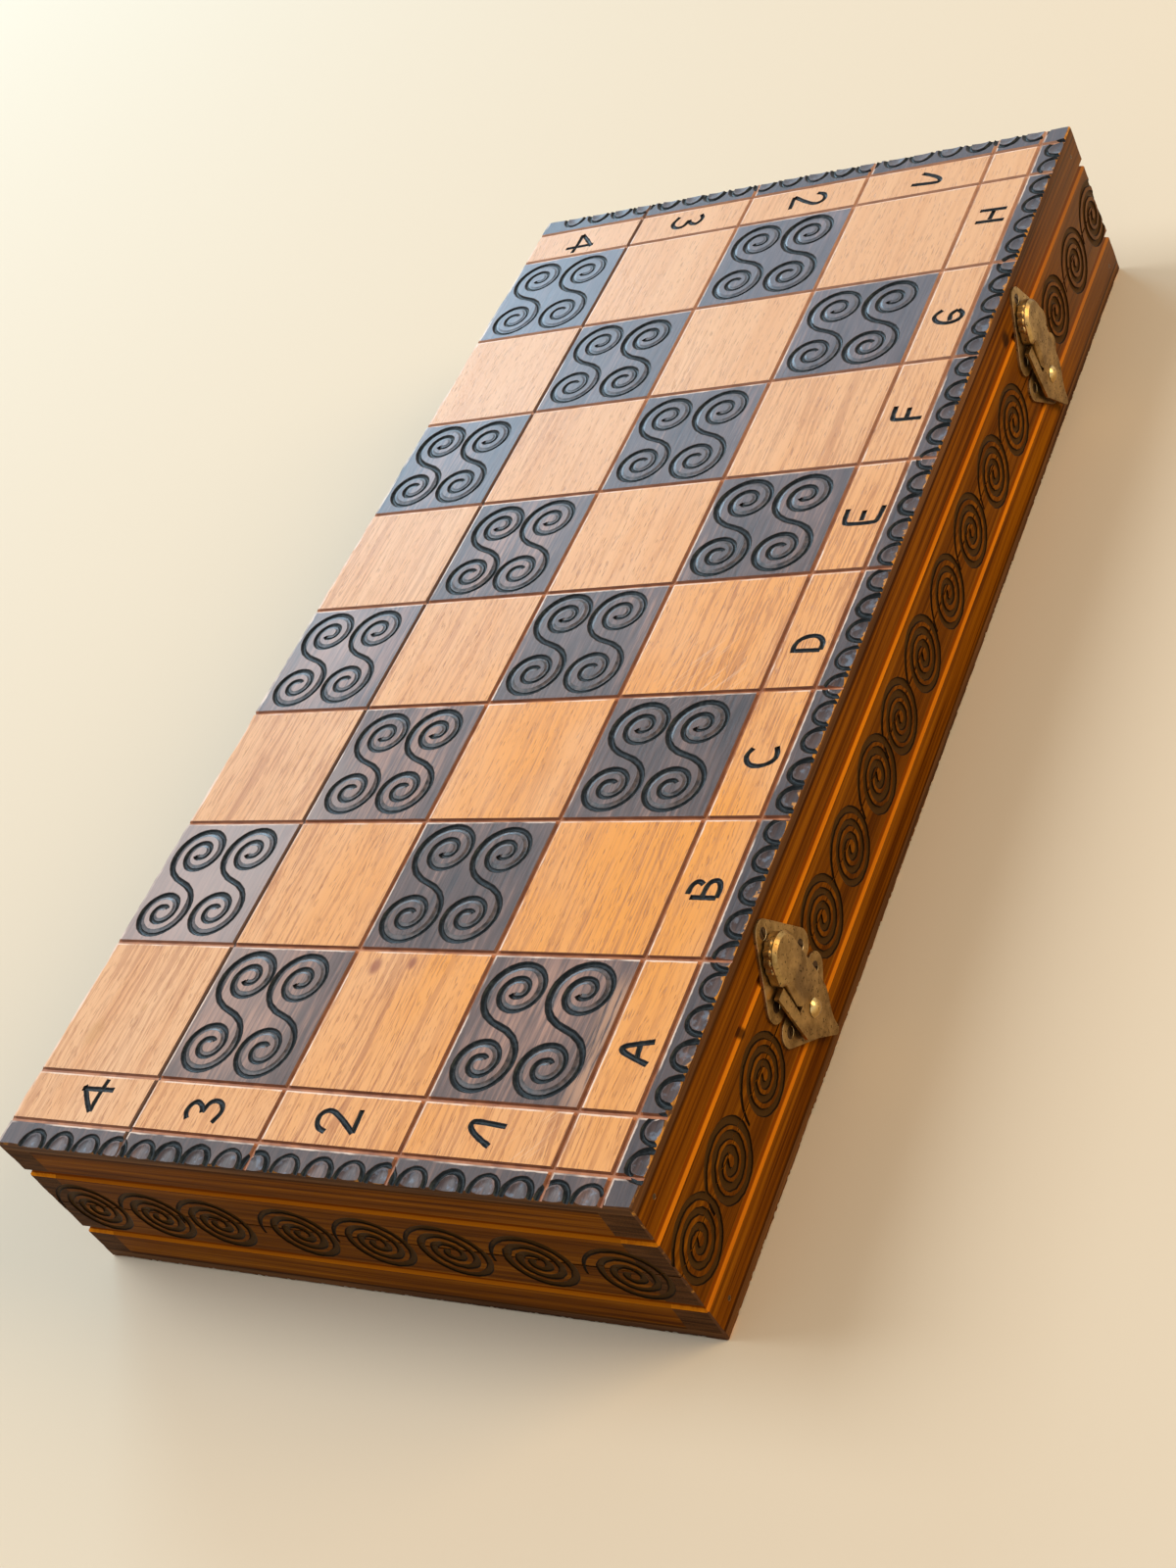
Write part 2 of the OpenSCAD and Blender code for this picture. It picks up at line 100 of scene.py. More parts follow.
camera = add_object("camera", bpy.data.cameras.new("camera"))
camera.matrix_world = facing(CAMERA_RIGHT, CAMERA_UP, CAMERA_PLACE)
camera.data.lens = CAMERA_LENS
camera.data.clip_start = CAMERA_NEAR
bpy.context.scene.camera = camera
print("camera at", tuple(round(c, 3) for c in CAMERA_PLACE))

# %% [markdown]
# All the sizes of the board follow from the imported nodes. The glue line between the two staves lies one
# square from the hinge edge, so it gives the size of a square.

# %% Sizes from the frame
MM = 0.001
TINY = 0.01 * MM
low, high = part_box("upper_board_main_stave")
END_X = high.x
FRONT_Y = low.y
TOP_Z = high.z
MID_Z = TOP_Z / 2
BOARD_THICKNESS = high.z - low.z
BACK_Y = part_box("upper_board_hinge_stave")[1].y
SQUARE = BACK_Y - high.y
FILES = 8
RANKS = 4
STRIP = 16 * MM
FILES_END = FILES / 2 * SQUARE
STRIP_END = FILES_END + STRIP
LETTERS_Y = BACK_Y - RANKS * SQUARE
STRIP_Y = LETTERS_Y - STRIP
GLUE_Y = BACK_Y - SQUARE
print("square:", round(SQUARE / MM, 2), "mm")
print("box:", round(2 * END_X / MM, 1), "x", round((BACK_Y - FRONT_Y) / MM, 1), "mm")

# %% [markdown]
# A face of the box is a small coordinate frame: right, up and outward, as someone sees it who looks
# straight at it. Ornament is drawn flat in millimetres, and the face's matrix carries it to its place.
# The two playing faces share one plane when the box lies open, so the lower face is that same plane
# folded under, by half a turn about the hinge edge.

# %% Faces
UPPER_FACE = facing((1, 0, 0), (0, 1, 0), (0, 0, TOP_Z))
LOWER_FACE = facing((1, 0, 0), (0, -1, 0), (0, 2 * BACK_Y, 0))
FRONT_FACE = facing((1, 0, 0), (0, 0, 1), (0, FRONT_Y, MID_Z))
BACK_FACE = facing((-1, 0, 0), (0, 0, 1), (0, BACK_Y, MID_Z))
LEFT_FACE = facing((0, -1, 0), (0, 0, 1), (-END_X, 0, MID_Z))
RIGHT_FACE = facing((0, 1, 0), (0, 0, 1), (END_X, 0, MID_Z))
LONG_SIDES = [FRONT_FACE, BACK_FACE]
SHORT_SIDES = [LEFT_FACE, RIGHT_FACE]
HALF_SIDE = {"upper": 1, "lower": -1}


def is_dark(half, file, row):
    """True for a dark square of a half; files count from the left and rows from the hinges."""
    return (file + row) % 2 == (1 if half == "upper" else 0)


print("corner A1 is dark:", is_dark("upper", 0, RANKS - 1))

# %% [markdown]
# Materials are node trees, and most of them need the same few nodes, so a small class keeps the tree and
# places the nodes. Everything reads Object coordinates: a finished piece sits at the origin, so these are
# metres in the frame of the box, and the grain runs on unbroken from one piece to the next.

# %% Node helper
class Shader:
    """A material's node tree, with one method for each kind of step that the finishes use."""

    def __init__(self, name, **constants):
        self.material = bpy.data.materials.new(name)
        self.material.use_nodes = True
        self.tree = self.material.node_tree
        self.surface = self.tree.nodes["Principled BSDF"]
        self.place = self.tree.nodes.new("ShaderNodeTexCoord").outputs["Object"]
        for socket, value in constants.items():
            self.surface.inputs[socket.replace("_", " ")].default_value = value

    def feed(self, socket, value):
        """Links the socket to a node's result, or sets it to a plain value."""
        if isinstance(value, bpy.types.NodeSocket):
            self.tree.links.new(value, socket)
        else:
            socket.default_value = value

    def node(self, kind, inputs, **settings):
        made = self.tree.nodes.new(kind)
        for key, value in settings.items():
            setattr(made, key, value)
        for key, value in inputs.items():
            self.feed(made.inputs[key], value)
        return made.outputs[0]

    def math(self, operation, a, b=0.0, c=0.0, clamp=False):
        return self.node("ShaderNodeMath", {0: a, 1: b, 2: c}, operation=operation, use_clamp=clamp)

    def scaled(self, stretch, source=None):
        """The source, or else the place, multiplied along x, y and z."""
        return self.node("ShaderNodeVectorMath", {0: source or self.place, 1: stretch}, operation="MULTIPLY")

    def noise(self, stretch, source=None, detail=3.0, rough=0.55, distortion=0.0):
        """Noise from 0 to 1; a large number in stretch makes it fine along that axis."""
        inputs = {"Vector": self.scaled(stretch, source), "Scale": 1.0}
        inputs |= {"Detail": detail, "Roughness": rough, "Distortion": distortion}
        return self.node("ShaderNodeTexNoise", inputs)

    def axes(self):
        split = self.tree.nodes.new("ShaderNodeSeparateXYZ")
        self.tree.links.new(self.place, split.inputs[0])
        return split.outputs["X"], split.outputs["Y"], split.outputs["Z"]

    def diagonal(self, dx, dy):
        """The length of the diagonal whose sides are dx and dy."""
        squares = self.math("ADD", self.math("MULTIPLY", dx, dx), self.math("MULTIPLY", dy, dy))
        return self.math("SQRT", squares)

    def between(self, value, start, end):
        """0 below start, 1 above end, and a smooth step between them."""
        inputs = {"Value": value, "From Min": start, "From Max": end}
        return self.node("ShaderNodeMapRange", inputs, interpolation_type="SMOOTHSTEP")

    def fade(self, value, start, end):
        """1 below start, 0 above end, and a smooth step between them."""
        return self.math("SUBTRACT", 1.0, self.between(value, start, end))

    def spread(self, value, lowest, highest):
        """A value from 0 to 1, spread over the range from lowest to highest."""
        return self.node("ShaderNodeMapRange", {"Value": value, "To Min": lowest, "To Max": highest})

    def ragged(self, value, bites, amount):
        """The value with an uneven edge: the noise in bites moves it by up to half the amount."""
        return self.math("MULTIPLY_ADD", self.math("SUBTRACT", bites, 0.5), amount, value)

    def blend(self, a, b, share):
        """A share of a, and the rest of b."""
        return self.math("ADD", self.math("MULTIPLY", a, share), self.math("MULTIPLY", b, 1 - share))

    def ramp(self, factor, stops):
        made = self.tree.nodes.new("ShaderNodeValToRGB")
        elements = made.color_ramp.elements
        for index, (place, colour) in enumerate(stops):
            element = elements[index] if index < 2 else elements.new(place)
            element.position = place
            element.color = (*colour, 1)
        self.feed(made.inputs["Fac"], factor)
        return made.outputs["Color"]

    def mix(self, factor, a, b):
        """From colour a to colour b. The node's colour sockets come after those for numbers and vectors."""
        made = self.tree.nodes.new("ShaderNodeMix")
        made.data_type = "RGBA"
        for index, value in ((0, factor), (6, a), (7, b)):
            self.feed(made.inputs[index], (*value, 1) if isinstance(value, tuple) else value)
        return made.outputs[2]

    def tint(self, colour, tone, where, share):
        """The colour, turned towards the tone where where is 1, by that share."""
        return self.mix(self.math("MULTIPLY", where, share), colour, tone)

    def bump(self, height, distance, strength):
        normal = self.node("ShaderNodeBump", {"Height": height, "Distance": distance, "Strength": strength})
        self.tree.links.new(normal, self.surface.inputs["Normal"])

    def finish(self, colour, rough):
        self.feed(self.surface.inputs["Base Color"], colour)
        self.feed(self.surface.inputs["Roughness"], rough)
        return self.material


print("node helper ready")

# %% [markdown]
# Most marks on the wood have a place of their own: a knot, a smudge, a rubbed patch. So the playing faces
# get a few measures first. A spot is a distance from a place, made longer along the grain and broken by
# noise. A painted sheen, which stands for the varnish mirroring a cool light, grows towards one end of the
# board and is strongest on the hinge stave. A thread of painted highlight runs along one side of each
# milled line, where its rim would catch the light.

# %% Measures on the board
SPOT_STRETCH = 1.5
SPOT_CORE = 0.3
SPOT_RIM = 1.5
SHEEN_START = -0.06
SHEEN_END = 0.18
STAVE_SHEEN = 0.28
LINE_HALF = 0.75 * MM
RIM_SHIFT = 0.42 * MM
RIM_CORE = 0.1 * MM
RIM_EDGE = 0.4 * MM
RIM_RAGGED = 0.5 * MM


def distance_to(shader, x, y, stretch):
    """How far a point lies from a vertical line at x and y, with the distance along X divided by stretch."""
    from_x, from_y, _ = shader.axes()
    dx = shader.math("DIVIDE", shader.math("SUBTRACT", from_x, x), stretch)
    return shader.diagonal(dx, shader.math("SUBTRACT", from_y, y))


def spot(shader, x, y, radius, bites):
    """1 in a spot on the playing faces, longer along the grain, with an edge that the bites break."""
    ring = shader.ragged(distance_to(shader, x, y, SPOT_STRETCH), bites, radius)
    return shader.fade(ring, SPOT_CORE * radius, SPOT_RIM * radius)


def in_spots(shader, places, bites):
    """1 in any of the spots, which are given as x, y and radius."""
    inside = 0.0
    for x, y, radius in places:
        inside = shader.math("MAXIMUM", spot(shader, x, y, radius, bites), inside)
    return inside


def marked(shader, colour, tone, places, bites):
    """The colour with a spot of the tone at each place, which is given as x, y, radius and share."""
    for x, y, radius, share in places:
        colour = shader.tint(colour, tone, spot(shader, x, y, radius, bites), share)
    return colour


def bloom(shader, cloudy):
    """How much painted sheen lies on a point: it grows along the board and is strongest on the hinge stave.
    """
    x, y, _ = shader.axes()
    along = shader.between(x, SHEEN_START, SHEEN_END)
    stave = shader.between(y, GLUE_Y - TINY, GLUE_Y)
    share = shader.math("MULTIPLY_ADD", stave, STAVE_SHEEN, along)
    return shader.math("MULTIPLY", share, shader.math("MULTIPLY_ADD", cloudy, 0.8, 0.6))


def line_distance(shader):
    """How far the point that lies RIM_SHIFT further along X and Y is from the middle of a milled line."""
    x, y, _ = shader.axes()
    across = shader.math("ABSOLUTE", shader.math("ADD", x, RIM_SHIFT))
    files = shader.math("PINGPONG", across, SQUARE / 2)
    ends = shader.math("ABSOLUTE", shader.math("SUBTRACT", across, STRIP_END))
    ranks = shader.math("PINGPONG", shader.math("SUBTRACT", BACK_Y - RIM_SHIFT, y), SQUARE / 2)
    front = shader.math("ABSOLUTE", shader.math("SUBTRACT", y, STRIP_Y - RIM_SHIFT))
    return shader.math("MINIMUM", shader.math("MINIMUM", files, ends), shader.math("MINIMUM", ranks, front))


def rim_of_lines(shader):
    """1 on the painted highlight along the rim of a milled line, which lies on its latch side and on its
    left.
    """
    fine = shader.noise((420, 420, 420), detail=2.0)
    distance = shader.math("MULTIPLY_ADD", fine, RIM_RAGGED, line_distance(shader))
    rim = shader.fade(distance, LINE_HALF + RIM_CORE, LINE_HALF + RIM_EDGE)
    broken = shader.between(shader.noise((70, 70, 70)), 0.36, 0.60)
    return shader.math("MULTIPLY", rim, broken)


print("rim of a line:", round((LINE_HALF + RIM_EDGE) / MM, 2), "mm from its middle")

# %% [markdown]
# Light wood is the first finish. The staves are a fine, pale hardwood with its grain along the files. Close
# up it shows long soft bands, thin darker lines a millimetre apart and short dark flecks. A noise that is
# stretched along X gives bands on the face and dots on the end grain, as a real board does. The wood is
# more orange round one place near the latch side and in a few small spots, and two pin knots sit near the
# latch side.

# %% Grain of the light wood
BEECH_PALE = (0.84, 0.490, 0.250)
BEECH_MID = (0.77, 0.395, 0.170)
BEECH_DARK = (0.42, 0.140, 0.030)
BEECH_ORANGE = (0.86, 0.345, 0.036)
FLECK_BROWN = (0.36, 0.13, 0.040)
ORANGE_PLACE = (-0.095, -0.050)
ORANGE_STRETCH = 1.35
ORANGE_REACH = 0.145
AMBER = [(-0.100, -0.067, 7 * MM, 0.7), (-0.134, -0.017, 5 * MM, 0.7), (-0.118, -0.074, 4 * MM, 0.7)]
SWAY = (0.0, 0.006, 0.006)


def varnished(shader, colour, cloudy):
    """The pale wood, more orange round one place and in a few small spots."""
    from_orange = distance_to(shader, *ORANGE_PLACE, ORANGE_STRETCH)
    near = shader.fade(from_orange, 0.1 * ORANGE_REACH, ORANGE_REACH)
    share = shader.math("MULTIPLY_ADD", near, 0.96, 0.08)
    orange = shader.math("MULTIPLY", shader.between(cloudy, 0.10, 0.70), share, clamp=True)
    return marked(shader, shader.mix(orange, colour, BEECH_ORANGE), BEECH_ORANGE, AMBER, cloudy)


def light_grain(shader, cloudy=None):
    """Bands, lines and flecks of the pale wood, as a colour and as a height; cloudy asks for the orange
    places and the painted sheen.
    """
    shift = shader.scaled(SWAY, shader.noise((13, 55, 55)))
    swayed = shader.node("ShaderNodeVectorMath", {0: shader.place, 1: shift}, operation="ADD")
    bands = shader.noise((6, 110, 110), swayed, distortion=0.3)
    lines = shader.noise((18, 860, 860), swayed, detail=2.0)
    hairs = shader.noise((50, 2000, 2000), swayed, detail=2.0)
    flecks = shader.noise((230, 2300, 2300), swayed, detail=1.0)
    strong = shader.between(shader.noise((4, 24, 24), detail=1.0), 0.38, 0.60)
    colour = shader.ramp(bands, [(0.30, BEECH_PALE), (0.68, BEECH_MID)])
    share = shader.math("MULTIPLY_ADD", strong, 0.34, 0.32)
    if cloudy is not None:
        colour = varnished(shader, colour, cloudy)
        # The painted sheen washes out the grain's lines.
        clear = shader.math("MULTIPLY_ADD", bloom(shader, cloudy), -0.62, 1.0, clamp=True)
        share = shader.math("MULTIPLY", share, clear)
    colour = shader.tint(colour, BEECH_DARK, shader.between(lines, 0.50, 0.61), share)
    colour = shader.tint(colour, BEECH_DARK, shader.between(hairs, 0.5, 0.7), share)
    dark_flecks = shader.between(flecks, 0.60, 0.70)
    colour = shader.tint(colour, FLECK_BROWN, dark_flecks, 0.6)
    height = shader.math("SUBTRACT", shader.math("MULTIPLY", lines, -1.0), dark_flecks)
    return colour, height


print("amber spots:", len(AMBER))

# %% [markdown]
# The grain is shared with the bare wood inside the trays. The finish of the playing face adds what use and
# time put on top of it: knots and smudges and scratches across the grain. It also adds a painted sheen and
# the painted highlights along the rims of the lines.

# %% Light wood
SHEEN_PALE = (0.82, 0.640, 0.520)
KNOT_BROWN = (0.30, 0.075, 0.018)
SMUDGE_BROWN = (0.55, 0.27, 0.08)
SCRATCH_PALE = (0.86, 0.60, 0.40)
RIM_HIGHLIGHT = (0.98, 0.80, 0.68)
KNOTS = [(-0.1375, 0.0036, 1.6 * MM, 0.85), (-0.136, -0.0078, 1.3 * MM, 0.85)]
SMUDGES = [(-0.163, 0.088, 2.6 * MM, 0.5), (-0.154, 0.075, 0.8 * MM, 0.5), (-0.088, 0.034, 2.4 * MM, 0.5)]
SCRATCHED = [(-0.182, -0.066, 8 * MM), (-0.036, -0.056, 15 * MM)]
SCRATCH_ANGLE = math.radians(38)


def scratches(shader):
    """1 on fine scratches that cross the grain in a few places where pieces have been slid about."""
    turned = shader.node("ShaderNodeMapping", {"Vector": shader.place, "Rotation": (0, 0, SCRATCH_ANGLE)})
    threads = shader.noise((45, 1500, 1500), turned, detail=1.0)
    places = in_spots(shader, SCRATCHED, threads)
    return shader.math("MULTIPLY", shader.between(threads, 0.60, 0.68), places)


def make_light_wood():
    shader = Shader("light wood", Coat_Weight=0.08, Coat_Roughness=0.3, Specular_IOR_Level=0.3)
    cloudy = shader.noise((16, 26, 26), detail=2.0)
    colour, height = light_grain(shader, cloudy)
    # Painted sheen: the pale wood turns paler towards the far end and on the hinge stave.
    colour = shader.tint(colour, SHEEN_PALE, bloom(shader, cloudy), 0.19)
    colour = marked(shader, colour, KNOT_BROWN, KNOTS, cloudy)
    colour = marked(shader, colour, SMUDGE_BROWN, SMUDGES, cloudy)
    colour = shader.tint(colour, SCRATCH_PALE, scratches(shader), 0.6)
    # Painted highlight along one rim of each milled line.
    colour = shader.tint(colour, RIM_HIGHLIGHT, rim_of_lines(shader), 0.8)
    shader.bump(height, 0.07 * MM, 0.7)
    return shader.finish(colour, shader.spread(cloudy, 0.40, 0.52))


LIGHT_WOOD = make_light_wood()
print(LIGHT_WOOD.name)

# %% [markdown]
# The dark squares and the border are the same wood under a thin black-brown stain. The stain is uneven, so
# the reddish wood shows through in streaks along the grain, and more where hands have rubbed it. The border
# was stained twice. A painted sheen lies over the stain: grey in a few places, and slate blue towards the far
# end. Nothing here paints the edges of the squares: the board's own faces get their finish one by one further
# down, so a dark square ends exactly where its milled line runs.

# %% Stain
STAIN_DEEP = (0.040, 0.023, 0.020)
STAIN_MID = (0.134, 0.080, 0.066)
STAIN_THIN = (0.42, 0.235, 0.170)
SHEEN_SLATE = (0.20, 0.26, 0.36)
BORDER_DARK = (0.022, 0.024, 0.034)
BORDER_SHARE = 0.42
SHEEN_GREY = (0.56, 0.46, 0.43)
SHEEN_PLACES = [
    (-0.108, 0.080, 36 * MM, 0.60), (-0.154, 0.040, 20 * MM, 0.14), (-0.020, 0.088, 22 * MM, 0.26),
]
RUBBED_SHARE = 0.12
RUBBED_PLACES = [
    (-0.115, 0.078, 34 * MM), (-0.152, 0.038, 22 * MM), (-0.150, -0.050, 18 * MM), (-0.066, 0.034, 20 * MM),
    (-0.022, 0.078, 22 * MM), (0.022, 0.034, 16 * MM), (0.066, 0.078, 14 * MM),
]
STAIN_VARNISH = {"Coat_Weight": 0.10, "Coat_Roughness": 0.3, "Specular_IOR_Level": 0.28}


def on_border(shader):
    """1 on the border outside the strips, where the stain was laid on twice."""
    x, y, _ = shader.axes()
    ends = shader.between(shader.math("ABSOLUTE", x), STRIP_END - TINY, STRIP_END)
    return shader.math("MAXIMUM", ends, shader.fade(y, STRIP_Y, STRIP_Y + TINY))


def stain_colour(shader):
    """The stain as a colour, and the streaks in it."""
    patches = shader.noise((20, 75, 75))
    streaks = shader.noise((48, 860, 860), detail=4.0, rough=0.65)
    rubbed = in_spots(shader, RUBBED_PLACES, patches)
    thin = shader.math("MULTIPLY_ADD", rubbed, RUBBED_SHARE, shader.blend(patches, streaks, 0.45))
    colour = shader.ramp(thin, [(0.36, STAIN_DEEP), (0.54, STAIN_MID), (0.72, STAIN_THIN)])
    # Painted sheen: grey spots, and a slate-blue wash towards the far end and on the hinge stave.
    colour = marked(shader, colour, SHEEN_GREY, SHEEN_PLACES, patches)
    colour = shader.tint(colour, SHEEN_SLATE, bloom(shader, patches), 0.42)
    return shader.tint(colour, BORDER_DARK, on_border(shader), BORDER_SHARE), streaks


print("rubbed places:", len(RUBBED_PLACES))

# %% [markdown]
# One corner square shows that the brush ran dry: beside its letter strip the stain breaks up into streaks.
# Such a small, true fault does more for the look of handwork than another layer of even noise.

# %% Stained wood
STAIN_RIM = (0.50, 0.33, 0.28)
STAIN_DRY = (0.52, 0.29, 0.17)
DRY_X = -0.158
DRY_REACH = 24 * MM
DRY_WIDTH = 8 * MM


def dry_brush(shader, streaks):
    """1 where the brush ran dry, in streaks beside the letter strip of the near corner's dark square."""
    x, y, _ = shader.axes()
    from_middle = shader.math("ABSOLUTE", shader.math("SUBTRACT", x, DRY_X))
    along = shader.fade(from_middle, 0.5 * DRY_REACH, DRY_REACH)
    near = shader.math("MULTIPLY", along, shader.fade(y, LETTERS_Y + 0.3 * DRY_WIDTH, LETTERS_Y + DRY_WIDTH))
    on_square = shader.between(y, LETTERS_Y - TINY, LETTERS_Y)
    broken = shader.math("MULTIPLY", on_square, shader.between(streaks, 0.36, 0.54))
    return shader.math("MULTIPLY", near, broken)


def make_stained_wood():
    shader = Shader("stained wood", Specular_Tint=(0.85, 0.93, 1.0, 1), **STAIN_VARNISH)
    colour, streaks = stain_colour(shader)
    colour = shader.tint(colour, STAIN_DRY, dry_brush(shader, streaks), 0.8)
    colour = shader.tint(colour, STAIN_RIM, scratches(shader), 0.4)
    # Painted highlight along one rim of each milled line.
    colour = shader.tint(colour, RIM_HIGHLIGHT, rim_of_lines(shader), 0.8)
    shader.bump(streaks, 0.12 * MM, 0.8)
    return shader.finish(colour, shader.spread(streaks, 0.34, 0.5))


STAINED_WOOD = make_stained_wood()
print(STAINED_WOOD.name)

# %% [markdown]
# Cuts have their own finishes. A burned groove is scorched brown where it starts and char-black below, so
# its colour follows how deep a point lies under the nearest outer face. On the boards the char is grey in
# patches of ash. On the rails the floor of the groove is brown ash. Beside each scroll's line the wood is
# only smoked.

# %% Burned finishes
CHAR_BLACK = (0.006, 0.006, 0.006)
CHAR_GREY = (0.030, 0.034, 0.036)
SCORCH = (0.130, 0.080, 0.066)
CHAR_DEPTH = 0.09 * MM
RAIL_CHAR = (0.008, 0.004, 0.0015)
RAIL_ASH = (0.056, 0.026, 0.006)
RAIL_SCORCH = (0.070, 0.024, 0.003)
RAIL_ASH_DEPTH = 0.42 * MM
FLANK_DARK = (0.034, 0.026, 0.024)
FLANK_PALE = (0.118, 0.084, 0.074)
SEAM_DARK = (0.010, 0.005, 0.002)
SEAM_BROWN = (0.045, 0.014, 0.003)


def depth_under(shader):
    """How deep a point lies under the nearest of the box's six outer faces, in metres."""
    x, y, z = shader.axes()
    from_end = shader.math("SUBTRACT", END_X, shader.math("ABSOLUTE", x))
    from_side = shader.math("SUBTRACT", BACK_Y, shader.math("ABSOLUTE", y))
    from_top = shader.math("SUBTRACT", MID_Z, shader.math("ABSOLUTE", shader.math("SUBTRACT", z, MID_Z)))
    return shader.math("MINIMUM", shader.math("MINIMUM", from_end, from_side), from_top)


def make_burned_wood():
    """Scorched at the rim, then black, with grey ash where the noise is high."""
    shader = Shader("burned wood", Specular_IOR_Level=0.14, Specular_Tint=(0.6, 0.85, 1.0, 1))
    char = shader.noise((700, 700, 700), detail=4.0)
    depth = shader.ragged(depth_under(shader), char, 0.15 * MM)
    black = shader.mix(shader.between(char, 0.45, 0.75), CHAR_BLACK, CHAR_GREY)
    colour = shader.mix(shader.between(depth, 0.0, CHAR_DEPTH), SCORCH, black)
    shader.bump(char, 0.12 * MM, 0.5)
    return shader.finish(colour, shader.spread(char, 0.24, 0.46))


def make_burned_rail():
    """Black along both walls of the groove, with a floor of brown ash."""
    shader = Shader("burned rail", Specular_IOR_Level=0.02, Specular_Tint=(1.0, 0.8, 0.6, 1))
    char = shader.noise((600, 600, 600), detail=4.0)
    depth = shader.ragged(depth_under(shader), char, 0.3 * MM)
    burned = shader.mix(shader.between(depth, 0.6 * RAIL_ASH_DEPTH, RAIL_ASH_DEPTH), RAIL_CHAR, RAIL_ASH)
    colour = shader.mix(shader.between(depth, 0.0, CHAR_DEPTH), RAIL_SCORCH, burned)
    shader.bump(char, 0.12 * MM, 0.5)
    return shader.finish(colour, 0.4)


def make_scorched_flank():
    """The slope beside a scroll's line, stained by smoke and not burned through."""
    varnish = {"Coat_Weight": 0.08, "Coat_Roughness": 0.25, "Specular_IOR_Level": 0.24}
    shader = Shader("scorched flank", Specular_Tint=(0.6, 0.85, 1.0, 1), **varnish)
    char = shader.noise((500, 500, 500), detail=4.0)
    colour = shader.ramp(char, [(0.38, FLANK_DARK), (0.62, FLANK_PALE)])
    # Painted sheen, as on the stain.
    colour = shader.tint(colour, SHEEN_SLATE, bloom(shader, char), 0.30)
    shader.bump(char, 0.10 * MM, 0.5)
    return shader.finish(colour, shader.spread(char, 0.26, 0.44))


def make_seam():
    """Dirt in the joint between the halves."""
    shader = Shader("seam", Specular_IOR_Level=0.0)
    dirt = shader.noise((300, 300, 300))
    return shader.finish(shader.ramp(dirt, [(0.4, SEAM_DARK), (0.7, SEAM_BROWN)]), 0.7)


BURNED_WOOD = make_burned_wood()
BURNED_RAIL = make_burned_rail()
SCORCHED_FLANK = make_scorched_flank()
SEAM = make_seam()
print("burned:", BURNED_WOOD.name, BURNED_RAIL.name, SCORCHED_FLANK.name, SEAM.name)

# %% [markdown]
# The milled lines are reddish brown, because the saw cut opened the wood and the varnish soaked in. A
# painted shadow darkens each along one side, and the painted sheen lies over them too. The glue line
# between the staves is the same cut with dark glue in it.

# %% Milled lines
LINE_BROWN = (0.52, 0.205, 0.080)
LINE_DARK = (0.30, 0.095, 0.032)
LINE_SHADE = (0.085, 0.024, 0.009)
LINE_SHEEN = (0.62, 0.37, 0.25)
GLUE_BROWN = (0.085, 0.035, 0.022)
GLUE_BLACK = (0.018, 0.010, 0.008)
SHADE_START = LINE_HALF - 0.15 * MM
SHADE_END = LINE_HALF + 0.2 * MM


def make_milled_wood(name, dark, pale, sheen_share):
    """Bare wood with a painted shadow along one side; sheen_share is how much of the painted sheen lies over
    it.
    """
    shader = Shader(name)
    streaks = shader.noise((240, 240, 500))
    colour = shader.ramp(streaks, [(0.35, dark), (0.62, pale)])
    # Painted shadow along one side of the line.
    shade = shader.between(line_distance(shader), SHADE_START, SHADE_END)
    colour = shader.tint(colour, LINE_SHADE, shade, 0.74)
    shader.bump(streaks, 0.1 * MM, 0.5)
    # Painted sheen over the line.
    hazy = shader.math("MULTIPLY", bloom(shader, streaks), sheen_share, clamp=True)
    return shader.finish(shader.mix(hazy, colour, LINE_SHEEN), 0.5)


MILLED_WOOD = make_milled_wood("milled line", LINE_DARK, LINE_BROWN, sheen_share=0.60)
GLUE_LINE = make_milled_wood("glue line", GLUE_BLACK, GLUE_BROWN, sheen_share=0.12)
print("milled:", MILLED_WOOD.name, GLUE_LINE.name)

# %% [markdown]
# The V-grooves were cut after the rails had been stained. They show the wood's own orange on the flank that
# looks up as the box stands. The flank that looks down gets a darker copy of the same finish, which is
# painted shade. Both flanks turn darker deeper in the groove. Two knots and a greyer far end mark the latch
# side, rail and groove alike, so both finishes call the same helpers.

# %% Groove wood
GROOVE_ORANGE = (0.76, 0.25, 0.008)
GROOVE_BROWN = (0.46, 0.12, 0.005)
GROOVE_DARK = (0.22, 0.052, 0.0015)
GROOVE_SHADED = (0.12, 0.026, 0.001)
GROOVE_DEEP = 0.68 * MM
KNOT_DARK = (0.018, 0.006, 0.002)
KNOT_SHARE = 0.85
RAIL_KNOTS = [(-0.1420, 0.0412, 1.7 * MM), (0.1070, 0.0455, 2.6 * MM)]
RAIL_HAZE = (0.110, 0.078, 0.056)
HAZE_REACH = (0.10, 0.19)
SIDE_DEPTH = 2 * MM


def rail_knots(shader, colour, bites):
    """Small dark knots on the latch side, which are drawn by their place along X and their height."""
    x, y, z = shader.axes()
    share = shader.math("MULTIPLY", shader.math("LESS_THAN", y, FRONT_Y + SIDE_DEPTH), KNOT_SHARE)
    for knot_x, knot_z, radius in RAIL_KNOTS:
        away = shader.diagonal(shader.math("SUBTRACT", x, knot_x), shader.math("SUBTRACT", z, knot_z))
        inside = shader.fade(shader.ragged(away, bites, radius), 0.5 * radius, 1.3 * radius)
        colour = shader.tint(colour, KNOT_DARK, inside, share)
    return colour


def rail_haze(shader, colour):
    """The latch side turns greyer towards its far end."""
    x, y, _ = shader.axes()
    on_side = shader.math("LESS_THAN", y, FRONT_Y + SIDE_DEPTH)
    hazy = shader.math("MULTIPLY", shader.between(x, *HAZE_REACH), on_side)
    return shader.tint(colour, RAIL_HAZE, hazy, 0.5)


def along_grain(axis, slow, fine, upright=None):
    """The stretch of a rail's noise: slow along its grain, which runs along the axis, and fine across it."""
    upright = upright or fine
    return (slow, fine, upright) if axis == "X" else (fine, slow, upright)


